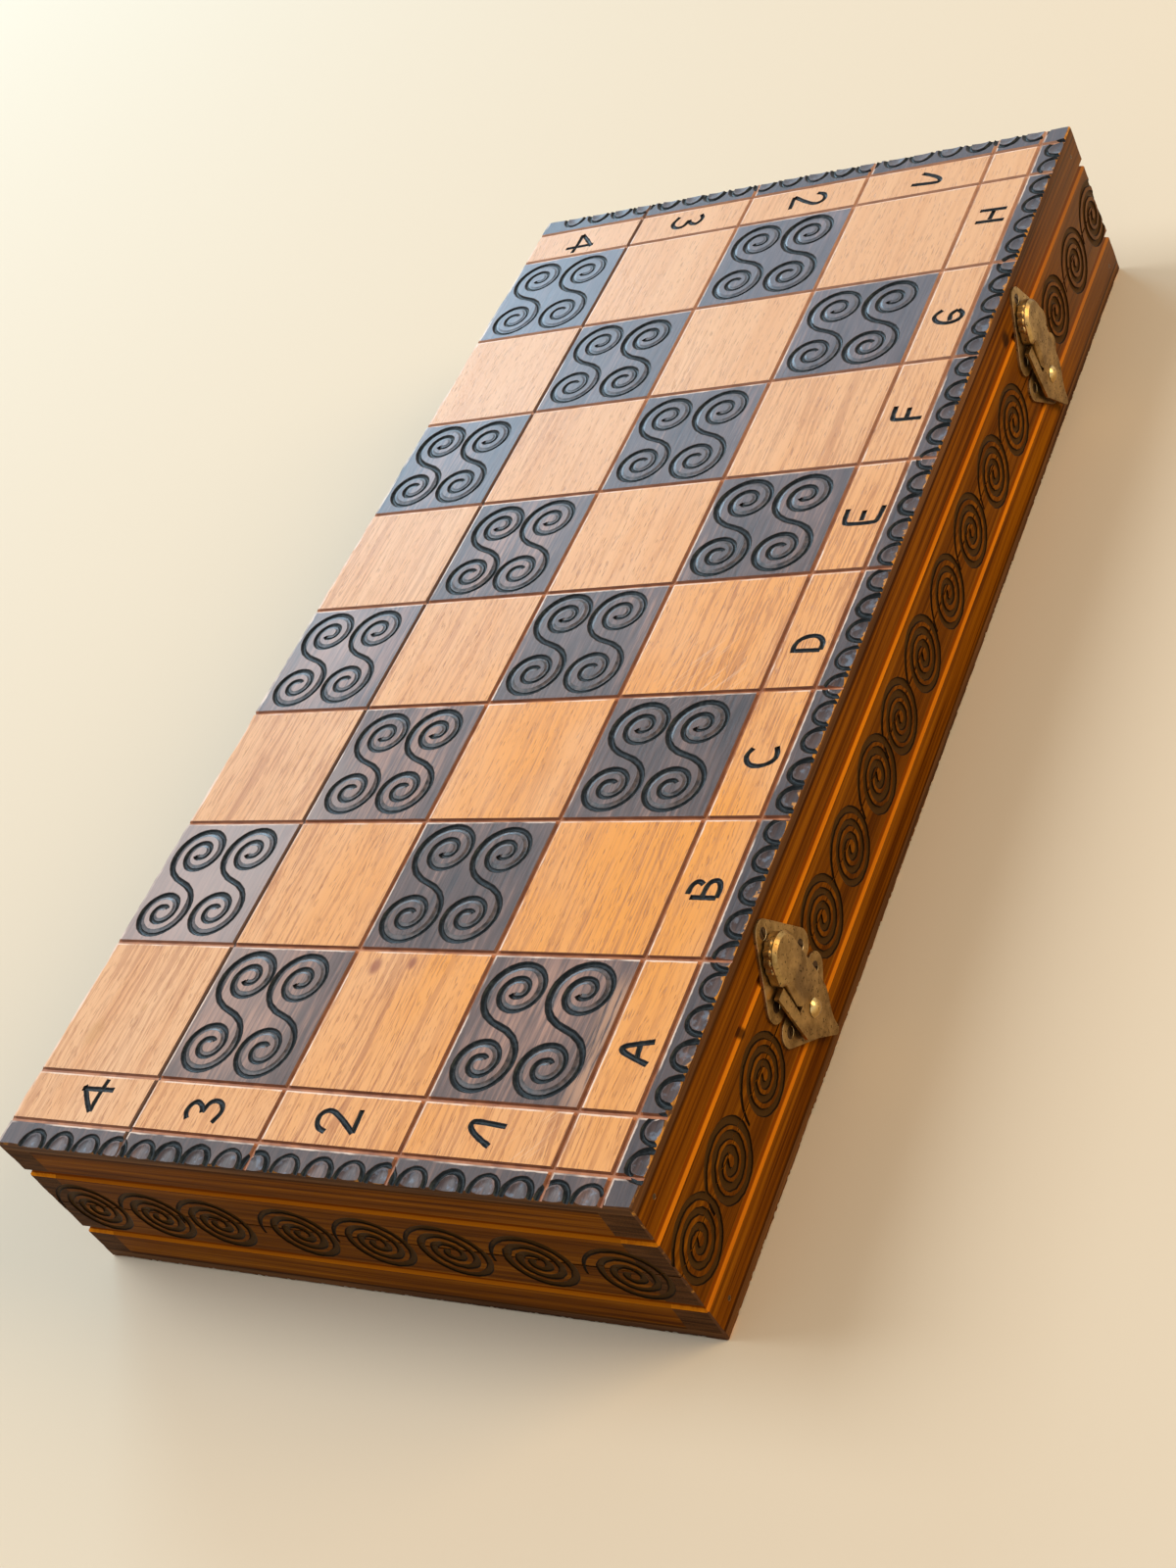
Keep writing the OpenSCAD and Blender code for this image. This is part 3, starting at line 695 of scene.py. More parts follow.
def make_groove_wood(name, axis, near, far):
    """Wood from the near to the far colour along its streaks, turning to GROOVE_DARK deeper in the groove."""
    shader = Shader(name, Specular_IOR_Level=0.02, Specular_Tint=(1.0, 0.7, 0.35, 1))
    streaks = shader.noise(along_grain(axis, 20, 900), detail=4.0)
    broad = shader.noise(along_grain(axis, 20 / 9, 100), detail=2.0)
    both = shader.blend(streaks, broad, 0.4)
    depth = shader.ragged(depth_under(shader), both, 0.5 * MM)
    inner = shader.between(depth, 0.85 * GROOVE_DEEP, 1.15 * GROOVE_DEEP)
    colour = shader.mix(inner, shader.ramp(both, [(0.40, near), (0.72, far)]), GROOVE_DARK)
    if axis == "X":
        colour = rail_haze(shader, rail_knots(shader, colour, broad))
    else:
        colour = shader.mix(0.5, colour, GROOVE_DARK)
    shader.bump(streaks, 0.08 * MM, 0.5)
    return shader.finish(colour, 0.4)


# The "stained" finish is the darker copy for the flank that looks down: painted shade.
GROOVE_FINISHES = {"bare": (GROOVE_ORANGE, GROOVE_BROWN), "stained": (GROOVE_DARK, GROOVE_SHADED)}
GROOVE_WOOD = {
    (flank, axis): make_groove_wood(f"{flank} groove along {axis}", axis, *colours)
    for flank, colours in GROOVE_FINISHES.items()
    for axis in "XY"
}
print("groove finishes:", sorted(GROOVE_WOOD))

# %% [markdown]
# Handling rubs the stain off the outer edges. How much is bare is a matter of two thresholds on one noise:
# the long arrises are mostly bare gold, and the corners have only lost their surface. The scoops between
# the arches keep the border's stain, and are bare just where the latch side's edge has been rubbed away.

# %% Worn wood
WORN_GOLD = (0.60, 0.26, 0.040)
WORN_BROWN = (0.085, 0.034, 0.012)


def make_worn_wood(name, brown_below, gold_above):
    """Stain that has rubbed off: brown where the noise is low, and bare gold where it is high."""
    shader = Shader(name, Specular_IOR_Level=0.1)
    bites = shader.noise((160, 160, 400), detail=4.0, rough=0.65)
    shader.bump(bites, 0.15 * MM, 0.6)
    return shader.finish(shader.ramp(bites, [(brown_below, WORN_BROWN), (gold_above, WORN_GOLD)]), 0.45)


def make_scooped_wood():
    """Stained like the border, with painted slate highlights in patches and bare patches at the latch side's
    edge.
    """
    shader = Shader("scooped wood", Specular_Tint=(0.75, 0.9, 1.0, 1), **STAIN_VARNISH)
    colour, streaks = stain_colour(shader)
    glint_patches = shader.noise((380, 380, 380), detail=4.0)
    # Painted highlight: slate-blue patches stand for a light mirrored in the scoops.
    colour = shader.tint(colour, SHEEN_SLATE, shader.between(glint_patches, 0.52, 0.66), 0.5)
    from_front = shader.math("SUBTRACT", shader.axes()[1], FRONT_Y)
    bites = shader.noise((420, 420, 420), detail=4.0)
    bare = shader.fade(shader.ragged(from_front, bites, 6 * MM), -0.5 * MM, 0.3 * MM)
    shader.bump(streaks, 0.12 * MM, 0.7)
    return shader.finish(shader.mix(bare, colour, WORN_GOLD), 0.38)


WORN_WOOD = make_worn_wood("worn arris", 0.40, 0.56)
WORN_DARK = make_worn_wood("rubbed arris", 0.54, 0.70)
SCOOPED_WOOD = make_scooped_wood()
print("worn:", WORN_WOOD.name, WORN_DARK.name, SCOOPED_WOOD.name)

# %% [markdown]
# The rails are stained a warm walnut brown under a glossier varnish. Their grain runs along each rail, so
# the end rails need it along Y. Smoke from the burner has darkened the band that the spirals fill, and glue
# and stain have gathered along the joint between rail and board.

# %% Rail wood
WALNUT_DARK = (0.074, 0.019, 0.0008)
WALNUT_MID = (0.170, 0.050, 0.0016)
WALNUT_PALE = (0.280, 0.094, 0.0030)
SOOT_BROWN = (0.046, 0.017, 0.002)
SOOT_REACH = 12.5 * MM
JOINT_REACH = 1.3 * MM


def from_joint_plane(shader):
    """How far a point lies above or below the plane in which the two halves meet."""
    return shader.math("ABSOLUTE", shader.math("SUBTRACT", shader.axes()[2], MID_Z))


def soot(shader, streaks):
    """1 in the band that the burned spirals fill, where smoke has darkened the wood in streaks."""
    away = shader.ragged(from_joint_plane(shader), streaks, 6 * MM)
    return shader.fade(away, 0.72 * SOOT_REACH, SOOT_REACH)


def board_joint(shader, streaks):
    """1 along the joint between rail and board, where glue and stain have gathered."""
    away = shader.ragged(from_joint_plane(shader), streaks, 1.5 * MM)
    edge = MID_Z - BOARD_THICKNESS
    return shader.between(away, edge - JOINT_REACH, edge - 0.4 * JOINT_REACH)


def make_rail_wood(name, axis):
    shader = Shader(name, Specular_IOR_Level=0.01, Specular_Tint=(1.0, 0.6, 0.25, 1))
    streaks = shader.noise(along_grain(axis, 6, 560))
    bands = shader.noise(along_grain(axis, 4, 120), distortion=0.2)
    fine = shader.noise(along_grain(axis, 30, 1900), detail=2.0)
    both = shader.ragged(shader.blend(streaks, bands, 0.66), fine, 0.30)
    colour = shader.ramp(both, [(0.38, WALNUT_DARK), (0.51, WALNUT_MID), (0.66, WALNUT_PALE)])
    colour = shader.tint(colour, SOOT_BROWN, soot(shader, streaks), 0.26)
    colour = shader.tint(colour, KNOT_DARK, board_joint(shader, streaks), 0.75)
    if axis == "X":
        colour = rail_haze(shader, rail_knots(shader, colour, bands))
    shader.bump(streaks, 0.07 * MM, 0.6)
    return shader.finish(colour, shader.spread(bands, 0.30, 0.42))


RAIL_WOOD = {axis: make_rail_wood(f"rail wood along {axis}", axis) for axis in "XY"}
print("rail finishes:", RAIL_WOOD["X"].name, "and", RAIL_WOOD["Y"].name)

# %% [markdown]
# Three finishes are left for the wood. The edge of the playing board shows above the rails, where their
# stain was wiped thinner. The ends of the long rails show end grain: darker, with close rings. The inside
# of the trays was never stained, so it is the light grain again, only paler and duller.

# %% Edges, end grain and bare wood
EDGE_DARK = (0.042, 0.015, 0.004)
EDGE_PALE = (0.165, 0.068, 0.021)
ENDGRAIN_DARK = (0.034, 0.013, 0.004)
ENDGRAIN_PALE = (0.115, 0.046, 0.014)
RAW_PALE = (0.70, 0.46, 0.25)
RAW_MID = (0.58, 0.34, 0.16)


def make_board_edge(name, axis):
    """The edge of the playing board, where the rails' stain was wiped thinner."""
    shader = Shader(name, Specular_IOR_Level=0.03, Specular_Tint=(1.0, 0.8, 0.6, 1))
    streaks = shader.noise(along_grain(axis, 9, 300, upright=500), detail=4.0, rough=0.6)
    shader.bump(streaks, 0.08 * MM, 0.6)
    return shader.finish(shader.ramp(streaks, [(0.36, EDGE_DARK), (0.64, EDGE_PALE)]), 0.42)


def make_end_grain():
    shader = Shader("end grain", Specular_IOR_Level=0.02, Specular_Tint=(1.0, 0.7, 0.4, 1))
    rings = shader.noise((60, 60, 900), distortion=0.6)
    pores = shader.noise((2400, 2400, 2400), detail=1.0)
    both = shader.blend(rings, pores, 0.7)
    shader.bump(both, 0.08 * MM, 0.6)
    return shader.finish(shader.ramp(both, [(0.38, ENDGRAIN_DARK), (0.66, ENDGRAIN_PALE)]), 0.5)


def make_raw_wood():
    shader = Shader("raw wood")
    colour, height = light_grain(shader)
    pale = shader.mix(0.55, colour, RAW_PALE)
    shader.bump(height, 0.06 * MM, 0.6)
    return shader.finish(shader.mix(0.2, pale, RAW_MID), 0.62)


BOARD_EDGE = {axis: make_board_edge(f"board edge along {axis}", axis) for axis in "XY"}
END_GRAIN = make_end_grain()
RAW_WOOD = make_raw_wood()
print("more wood:", BOARD_EDGE["X"].name, END_GRAIN.name, RAW_WOOD.name)

# %% [markdown]
# Every groove is a tool that was drawn along a line. In Blender that is a curve with a bevel profile: the
# profile is the tool's section and the curve is its way. The tool's section here starts almost flat, so
# that the rim of each burned line is rounded over as scorched wood is, then drops to a round floor. The
# curve becomes a closed mesh, and a boolean takes it out of the wood.

# %% Groove tool
# The sections are right halves, in millimetres: how far from the middle of the line, and how high above the
# face of the wood.
MERGE = 1e-7
GROOVE_SECTION = [
    (1.50, 0.05), (1.34, 0.0), (1.14, -0.09), (0.98, -0.30), (0.74, -0.62), (0.40, -0.84), (0, -0.90),
]
FLANK_SECTION = [(1.34, 0.05), (1.20, 0.0), (0.92, -0.11), (0.52, -0.28), (0, -0.34)]
SPIRAL_SECTION = [(1.22, 0.05), (1.12, 0.0), (0.96, -0.10), (0.80, -0.34), (0.48, -0.52), (0, -0.56)]
SECTION_TOP = 0.5
RIM_POINT = 2


def tool_section(name, points):
    """A tool's section as a closed curve object, from points in millimetres."""
    curve = bpy.data.curves.new(name, "CURVE")
    spline = curve.splines.new("POLY")
    spline.points.add(len(points) - 1)
    for point, (x, y) in zip(spline.points, points):
        point.co = (x * MM, y * MM, 0, 1)
    spline.use_cyclic_u = True
    return add_object(name, curve)


def gouge_section(name, right):
    """The same from its right half: right flank, floor, left flank and a lid above the wood."""
    left = [(-x, y) for x, y in reversed(right[:-1])]
    return tool_section(name, right + left + [(-right[0][0], SECTION_TOP), (right[0][0], SECTION_TOP)])


def finished_mesh(made):
    """The mesh that an object's curve or modifiers end in; the object itself is taken away."""
    ready = made.evaluated_get(bpy.context.evaluated_depsgraph_get())
    mesh = bpy.data.meshes.new_from_object(ready)
    bpy.data.objects.remove(made)
    return mesh


def sweep(name, section, paths, place, material):
    """A cutter that the section makes along the paths; a path is a list of (x, y, scale)."""
    curve = bpy.data.curves.new(name, "CURVE")
    curve.dimensions = "3D"
    curve.twist_mode = "Z_UP"
    curve.bevel_mode = "OBJECT"
    curve.bevel_object = section
    curve.use_fill_caps = True
    for path in paths:
        spline = curve.splines.new("POLY")
        spline.points.add(len(path) - 1)
        for point, (x, y, scale) in zip(spline.points, path):
            point.co = (x, y, 0, 1)
            point.radius = scale
    bm = bmesh.new()
    bm.from_mesh(finished_mesh(add_object(name, curve)))
    return cutter_from(bm, name, place, material)


def cutter_from(bm, name, place, material):
    """A hidden object that a boolean can take out of the wood."""
    bmesh.ops.transform(bm, matrix=place, verts=bm.verts)
    bmesh.ops.remove_doubles(bm, verts=bm.verts, dist=MERGE)
    bmesh.ops.recalc_face_normals(bm, faces=bm.faces)
    mesh = bpy.data.meshes.new(name)
    bm.to_mesh(mesh)
    bm.free()
    mesh.materials.append(material)
    cutter = add_object(name, mesh)
    cutter.hide_render = True
    return cutter


LINE_TOOL = gouge_section("line tool", GROOVE_SECTION)
FLANK_TOOL = gouge_section("flank tool", FLANK_SECTION)
SPIRAL_TOOL = gouge_section("spiral tool", SPIRAL_SECTION)
print("groove", 2 * GROOVE_SECTION[RIM_POINT][0], "mm wide at its rim")

# %% [markdown]
# Each dark square carries two lying S-scrolls. A scroll is two spirals that run in from a shared line: the
# left one winds clockwise, and the right one is the same spiral after half a turn. Where they meet, one
# fades into the other. The burner's hand shakes a little, so every scroll is turned, moved and scaled by a
# small seeded amount, and the line's width wavers.

# %% Scrolls
HAND = random.Random(11)
SCROLL_REACH = Vector((-10.95, 0.84)) * MM
SCROLL_RADIUS = 9.4 * MM
SCROLL_STEP = 4.35 * MM
SCROLL_MIN_RADIUS = 2.0 * MM
SCROLL_END = math.radians(690)
SCROLL_JOIN = math.radians(-74)
SCROLL_FADE = math.radians(34)
SCROLL_POINTS = 60
SCROLL_WIDTH = 0.76
SCROLL_TAPER = 0.22
SCROLL_ROWS = (0.262, 0.69)
SCROLL_TILT = 1.6
SCROLL_SIZES = (0.965, 1.01)
SCROLL_SLIP = 0.4
SCROLL_PRESSURES = (0.88, 1.08)
SCROLL_WAVER = 0.12
SCROLL_SEED = 3.0
WAVER_FINENESS = 900
FLANK_IN = 0.74 * MM
FLANK_FADE = math.radians(60)
FLANK_LEAST = 0.2
FLANK_TAPER = 0.45


def volute(angle):
    """A point of the left spiral; the angle is 0 at its lowest point and grows clockwise."""
    radius = max(SCROLL_RADIUS - SCROLL_STEP * angle / math.tau, SCROLL_MIN_RADIUS)
    around = -math.pi / 2 - angle
    return SCROLL_REACH + radius * Vector((math.cos(around), math.sin(around)))


def scroll_points():
    """Both halves of an S-scroll about its middle, as (point, share of the way to an inner end)."""
    half = []
    for step in range(SCROLL_POINTS + 1):
        angle = SCROLL_JOIN + (SCROLL_END - SCROLL_JOIN) * step / SCROLL_POINTS
        share = max(0.0, 1 - (angle - SCROLL_JOIN) / SCROLL_FADE)
        fade = 0.5 * share * share * (3 - 2 * share)
        other = -volute(2 * SCROLL_JOIN - angle)
        half.append((volute(angle).lerp(other, fade), step / SCROLL_POINTS))
    mirrored = [(-point, share) for point, share in half[1:]]
    return list(reversed(half)) + mirrored


def wavering(place, seed, amount):
    """A factor near 1 that changes along a line, as the pressure of a hand does."""
    return 1 + amount * noise.noise(Vector((place.x, place.y, seed)) * WAVER_FINENESS)


def flank_points():
    """The soft slope inside a spiral's line, as (point, width); it fades out towards the middle of the S."""
    half = []
    for step in range(SCROLL_POINTS):
        share = step / SCROLL_POINTS
        angle = SCROLL_JOIN + (SCROLL_END - SCROLL_JOIN) * share
        strength = min(1.0, (angle - SCROLL_JOIN) / FLANK_FADE)
        if strength > FLANK_LEAST:
            point = volute(angle)
            inward = (SCROLL_REACH - point).normalized()
            half.append((point + FLANK_IN * strength * inward, strength * (1.0 - FLANK_TAPER * share)))
    return half, [(-point, width) for point, width in half]


def scroll_paths(centre):
    """The line of a scroll and its two flanks at a place on the board, with the small faults of a hand."""
    tilt = Matrix.Rotation(math.radians(HAND.uniform(-SCROLL_TILT, SCROLL_TILT)), 2)
    size = HAND.uniform(*SCROLL_SIZES)
    slips = [HAND.uniform(-SCROLL_SLIP, SCROLL_SLIP) for _ in "xy"]
    shift = Vector(slips) * MM
    pressure = HAND.uniform(*SCROLL_PRESSURES)

    def placed(points):
        path = []
        for point, width in points:
            place = centre + shift + size * (tilt @ point)
            path.append((place.x, place.y, pressure * width * wavering(place, SCROLL_SEED, SCROLL_WAVER)))
        return path

    line = placed([(point, SCROLL_WIDTH - SCROLL_TAPER * share) for point, share in scroll_points()])
    return line, [placed(flank) for flank in flank_points()]


def dark_squares(half):
    """The middle of each dark square of a half, in the opened board's plane, with the player's down as -Y."""
    for file in range(FILES):
        for row in range(RANKS):
            if is_dark(half, file, row):
                x = (file + 0.5) * SQUARE - FILES_END
                y = BACK_Y - HALF_SIDE[half] * (row + 0.5) * SQUARE
                yield Vector((x, y))


def scroll_cutters(half, place):
    """The two rows of scrolls nearly touch, so each row has its own cutters."""
    cutters = []
    for row in SCROLL_ROWS:
        made = [scroll_paths(middle + Vector((0, (0.5 - row) * SQUARE))) for middle in dark_squares(half)]
        lines = [line for line, _ in made]
        flanks = [flank for _, pair in made for flank in pair]
        cutters.append(sweep(f"{half} flanks {row}", FLANK_TOOL, flanks, place, SCORCHED_FLANK))
        cutters.append(sweep(f"{half} scrolls {row}", LINE_TOOL, lines, place, BURNED_WOOD))
    return cutters


CUTTERS = {"upper": scroll_cutters("upper", UPPER_FACE), "lower": scroll_cutters("lower", LOWER_FACE)}
print("scroll cutters:", {half: len(made[0].data.polygons) for half, made in CUTTERS.items()})

# %% [markdown]
# The ranks and files are written freehand with the same burner, in thin even strokes. A letter is a short
# list of strokes on a grid of tenths of its height, with Y down. Strokes are made round by cutting their
# corners three times over, which is Chaikin's rule. A cutter must not overlap itself, so a sign is split
# where its line meets itself or turns sharply, and each further stroke goes into a cutter of its own. Where
# a letter or number stands in its square is written as a share of the square.

# %% Letters and numbers
LETTER_HEIGHT = 8.7 * MM
NUMBER_HEIGHT = 10.2 * MM
SIGN_WIDTH = 0.92
SIGN_STROKE = 0.60
SIGN_GRID = 10
SIGN_MIDDLE_X = 4
SIGN_MIDDLE_Y = 5
SIGN_WAVER = 0.15
LETTER_SHARES = (0.38, 0.485, 0.46, 0.38, 0.49, 0.47, 0.45, 0.57)
NUMBER_SHARES = {-1: (0.54, 0.48, 0.463, 0.475), 1: (0.53, 0.49, 0.57, 0.55)}
LETTER_DOWN = 0.55 * STRIP
NUMBER_OUT = 8.2 * MM
SIGNS = {
    "A": [[(0, 10), (2.2, 4.5), (4.3, 0.3), (5.8, 0.2), (6.8, 4), (8, 9.6)], [(2.2, 6), (7.4, 5.4)]],
    "B": [
        [(0.6, 1.2), (0.4, 9.8)],
        [(0.4, 9.8), (4.5, 10), (7.6, 8.4), (6.6, 5.4), (0.9, 5)],
        [(1.8, 0), (5.4, 0.2), (7.2, 2), (5.6, 4)],
    ],
    "C": [[(8, 1.2), (4.6, -0.4), (0.6, 1.8), (0, 6.2), (2.2, 9.8), (5.2, 10.2), (8.4, 9)]],
    "D": [[(0.6, 0.6), (0.4, 9.8)], [(0.4, 9.8), (4.6, 9.8), (7.6, 6.6), (6.6, 1.8), (3.2, 0), (-0.2, 0.6)]],
    "E": [
        [(8.2, -1.4), (1.4, -1.2), (0.2, 0.4), (0.2, 9.6), (1.2, 10.8), (8.6, 11.2)],
        [(1.6, 5), (6.8, 4.8)],
    ],
    "F": [[(8.4, 0), (1.6, 0.2), (0.6, 1.4), (0.4, 11.2)], [(1.4, 5.6), (6.8, 5.4)]],
    "G": [
        [(8.6, 2), (5.4, -0.8), (1.4, 1.6), (0, 6.2), (1.4, 9.8), (5, 10.8), (7.8, 8)],
        [(7.8, 8), (5.6, 5.6), (1.6, 6.4)],
    ],
    "H": [[(0.8, 0), (0.2, 11)], [(8.2, 0), (7.6, 10.4)], [(1.6, 5.2), (7, 5.6)]],
    "1": [[(0.4, 8.2), (3.2, 3.2), (5.4, 0.8), (7.2, 0.8), (7.2, 3.4), (6.4, 10.6)]],
    "2": [[(0.4, 3.6), (1.6, 0.4), (5.4, -0.6), (7.4, 2.2), (5, 6.4), (0.6, 12)], [(0.6, 12), (7.8, 11.6)]],
    "3": [
        [(0.6, 1), (3.4, -0.6), (6.6, 1.2), (5.2, 4), (3, 5)],
        [(3, 5), (6.8, 6), (7, 9.4), (4, 11.6), (0, 9.8)],
    ],
    "4": [[(8.4, 1.4), (3.4, 5), (0, 8)], [(0, 8), (5, 7.8), (11, 8.4)], [(7.4, 1), (7.6, 12.2)]],
    "5": [[(8, 0), (2, 0.2), (1.2, 4.8)], [(1.2, 4.8), (5, 4.2), (7.8, 7), (5.6, 10.6), (0.6, 10.2)]],
    "6": [
        [(6.8, 0), (2.4, 2.4), (0.2, 7), (2.4, 10.8), (6, 10.4), (7.4, 7.6)],
        [(7.4, 7.6), (4.6, 5.6), (1.2, 7)],
    ],
    "7": [[(0, 0.4), (7.6, 0)], [(7.6, 0), (5, 5.4), (3.4, 11)], [(2, 5.6), (7.2, 5.2)]],
    "8": [
        [(6.8, 1.8), (3.4, -0.4), (0.8, 2), (3.6, 4.8), (7, 7.4), (4.4, 10.8)],
        [(4.4, 10.8), (0.8, 8.8), (2.4, 6), (4.6, 4.2), (7, 2.6)],
    ],
}


def rounded(points, passes=3):
    """Chaikin's rule: every inner corner is replaced by two points beside it."""
    for _ in range(passes):
        cut = [points[0]]
        for a, b in zip(points, points[1:]):
            cut += [a.lerp(b, 0.25), a.lerp(b, 0.75)]
        points = cut + [points[-1]]
    return points


def stroke_path(points, height, middle, right, down, seed):
    """A stroke on the board: the sign's own right and down are directions in the opened board's plane."""
    unit = height / SIGN_GRID
    path = []
    for point in rounded([Vector(p) for p in points]):
        across = (point.x - SIGN_MIDDLE_X) * SIGN_WIDTH
        place = middle + unit * (across * right + (point.y - SIGN_MIDDLE_Y) * down)
        path.append((place.x, place.y, SIGN_STROKE * wavering(place, seed, SIGN_WAVER)))
    return path


def sign_places(half):
    """Each sign of a half, with its height, its middle, and its own right and down on the opened board."""
    side = HALF_SIDE[half]
    right, down = Vector((1, 0)), Vector((0, -1))
    for file, share in enumerate(LETTER_SHARES):
        middle = Vector(((file + share) * SQUARE - FILES_END, BACK_Y - side * (RANKS * SQUARE + LETTER_DOWN)))
        yield "ABCDEFGH"[file], LETTER_HEIGHT, middle, side * right, side * down
    for end, shares in NUMBER_SHARES.items():
        for row, share in enumerate(shares):
            rank = str(RANKS - row if half == "upper" else RANKS + 1 + row)
            middle = Vector((end * (FILES_END + NUMBER_OUT), BACK_Y - side * (row + share) * SQUARE))
            yield rank, NUMBER_HEIGHT, middle, -end * right, -end * down


def sign_cutters(half, place):
    """The signs of a half: all first strokes in one cutter, all second strokes in the next, and so on."""
    layers = {}
    for seed, (sign, *place_of_sign) in enumerate(sign_places(half)):
        for layer, points in enumerate(SIGNS[sign]):
            layers.setdefault(layer, []).append(stroke_path(points, *place_of_sign, seed))
    return [
        sweep(f"{half} signs {layer}", LINE_TOOL, paths, place, BURNED_WOOD)
        for layer, paths in layers.items()
    ]


CUTTERS["upper"] += sign_cutters("upper", UPPER_FACE)
CUTTERS["lower"] += sign_cutters("lower", LOWER_FACE)
print("cutters for a half:", [cutter.name for cutter in CUTTERS["upper"]])

# %% [markdown]
# The border carries a row of burned arches along its three outer edges. A round-nosed gouge took a shallow
# scoop out of the wood inside each arch, right at the edge, and a bent hot wire drew the arch round it.
# Neighbouring arches may touch, so even and odd ones go into separate cutters.

# %% Arches
ARCH_PITCH = 9.8 * MM
ARCH_HALF_WIDTH = 3.9 * MM
ARCH_REACH = 5.0 * MM
ARCH_FULLNESS = 0.85
ARCH_POINTS = 14
ARCH_WIDTH = 0.62
ARCH_FOOT = 1.35
ARCH_FOOT_POWER = 3
ARCH_SLIP = 0.6
ARCH_PRESSURES = (0.75, 1.12)
ARCH_WAVER = 0.2
ARCH_SEED = 5.0
SCOOP_DEPTH = 0.55 * MM
SCOOP_SHAPE = Vector((3.1, 4.0)) * MM
CORNER_FREE = 11.3 * MM
HINGE_FREE = 12.7 * MM
OVERRUN = 2 * MM


def arch_edges(half):
    """The three outer edges of a half, as start, direction along, direction inward and length."""
    side = HALF_SIDE[half]
    front = BACK_Y - side * (BACK_Y - FRONT_Y)
    depth = BACK_Y - FRONT_Y - CORNER_FREE - HINGE_FREE
    back = BACK_Y - side * HINGE_FREE
    yield Vector((-END_X + CORNER_FREE, front)), Vector((1, 0)), Vector((0, side)), 2 * (END_X - CORNER_FREE)
    yield Vector((-END_X, back)), Vector((0, -side)), Vector((1, 0)), depth
    yield Vector((END_X, back)), Vector((0, -side)), Vector((-1, 0)), depth


def arch_places(half):
    """Each arch's middle on the edge, with along, inward and a pressure that varies by hand."""
    for start, along, inward, length in arch_edges(half):
        count = round(length / ARCH_PITCH)
        for index in range(count + 1):
            reach = index * length / count + HAND.uniform(-ARCH_SLIP, ARCH_SLIP) * MM
            yield start + reach * along, along, inward, HAND.uniform(*ARCH_PRESSURES)


def arch_path(middle, along, inward, pressure):
    """The line of an arch, thicker at its feet, which run out over the edge."""
    path = []
    for step in range(ARCH_POINTS + 1):
        around = math.pi * step / ARCH_POINTS
        across = -ARCH_HALF_WIDTH * math.cos(around)
        reach = ARCH_REACH * math.sin(around) ** ARCH_FULLNESS
        place = middle + across * along + reach * inward
        foot = abs(math.cos(around)) ** ARCH_FOOT_POWER
        width = ARCH_WIDTH * pressure * (1 + (ARCH_FOOT - 1) * foot)
        path.append((place.x, place.y, width * wavering(place, ARCH_SEED, ARCH_WAVER)))
    feet = [middle + side * ARCH_HALF_WIDTH * along - OVERRUN * inward for side in (-1, 1)]
    return [(*feet[0], path[0][2])] + path + [(*feet[1], path[-1][2])]


def scoop(bm, middle, along, inward, pressure):
    """A flat ball, half sunk at the edge, where the gouge took its chip."""
    size = (SCOOP_SHAPE.x, SCOOP_SHAPE.y, SCOOP_DEPTH * pressure)
    turn = Matrix((along.to_3d(), inward.to_3d(), Vector((0, 0, along.cross(inward))))).transposed()
    place = Matrix.Translation(middle.to_3d()) @ turn.to_4x4() @ Matrix.Diagonal((*size, 1))
    bmesh.ops.create_icosphere(bm, subdivisions=2, radius=1, matrix=place)


def arch_cutters(half, place):
    """The scoops of a half in one cutter, and its arches in two."""
    places = list(arch_places(half))
    scoops = bmesh.new()
    for arch in places:
        scoop(scoops, *arch)
    cutters = [cutter_from(scoops, f"{half} scoops", place, SCOOPED_WOOD)]
    for parity in (0, 1):
        paths = [arch_path(*arch) for arch in places[parity::2]]
        cutters.append(sweep(f"{half} arches {parity}", LINE_TOOL, paths, place, BURNED_WOOD))
    return cutters


CUTTERS["upper"] += arch_cutters("upper", UPPER_FACE)
CUTTERS["lower"] += arch_cutters("lower", LOWER_FACE)
print("arches on a half:", len(list(arch_places("upper"))))

# %% [markdown]
# Spirals run round the sides, across the joint between the two halves, so both halves are cut by the same
# tool while the box is shut. Each one starts with a light touch on the left, winds in clockwise and ends
# near its own middle. On the front and on the left they stand in listed places, in millimetres from the
# middle of the face. The other two sides have even rows, and the back leaves its hinges free.

# %% Side spirals
SPIRAL_RADIUS = 10.9 * MM
SPIRAL_STEP = 3.4 * MM
SPIRAL_DROP = 2.2 * MM
SPIRAL_LEAD = math.radians(96)
SPIRAL_FLARE = 1.5 * MM
SPIRAL_TURNS = 3.0
SPIRAL_POINTS = 112
SPIRAL_WIDTH = 1.04
SPIRAL_TOUCH = 0.35
SPIRAL_PRESS = 9
SPIRAL_SLIP = 0.8
SPIRAL_LIFT = 0.4
SPIRAL_SIZES = (0.97, 1.02)
SPIRAL_PRESSURES = (0.85, 1.05)
SPIRAL_WAVER = 0.2
FRONT_ROW = (-189, -168.5, -144, -95.7, -72, -48.7, -27, -3.5, 21, 45, 69.5, 92.5, 144.7, 169.6, 193.5)
LEFT_ROW = (-86.4, -61.7, -40.7, -13.6, 10.7, 35, 59.3, 85.5)
LONG_PITCH = 23.9 * MM
SHORT_PITCH = 24.7 * MM
LONG_COUNT = int(2 * END_X / LONG_PITCH) + 1
SHORT_COUNT = int((BACK_Y - FRONT_Y) / LONG_PITCH)
HINGE_X = [sum(v.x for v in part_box(f"{side}_hinge_pin")) / 2 for side in ("left", "right")]


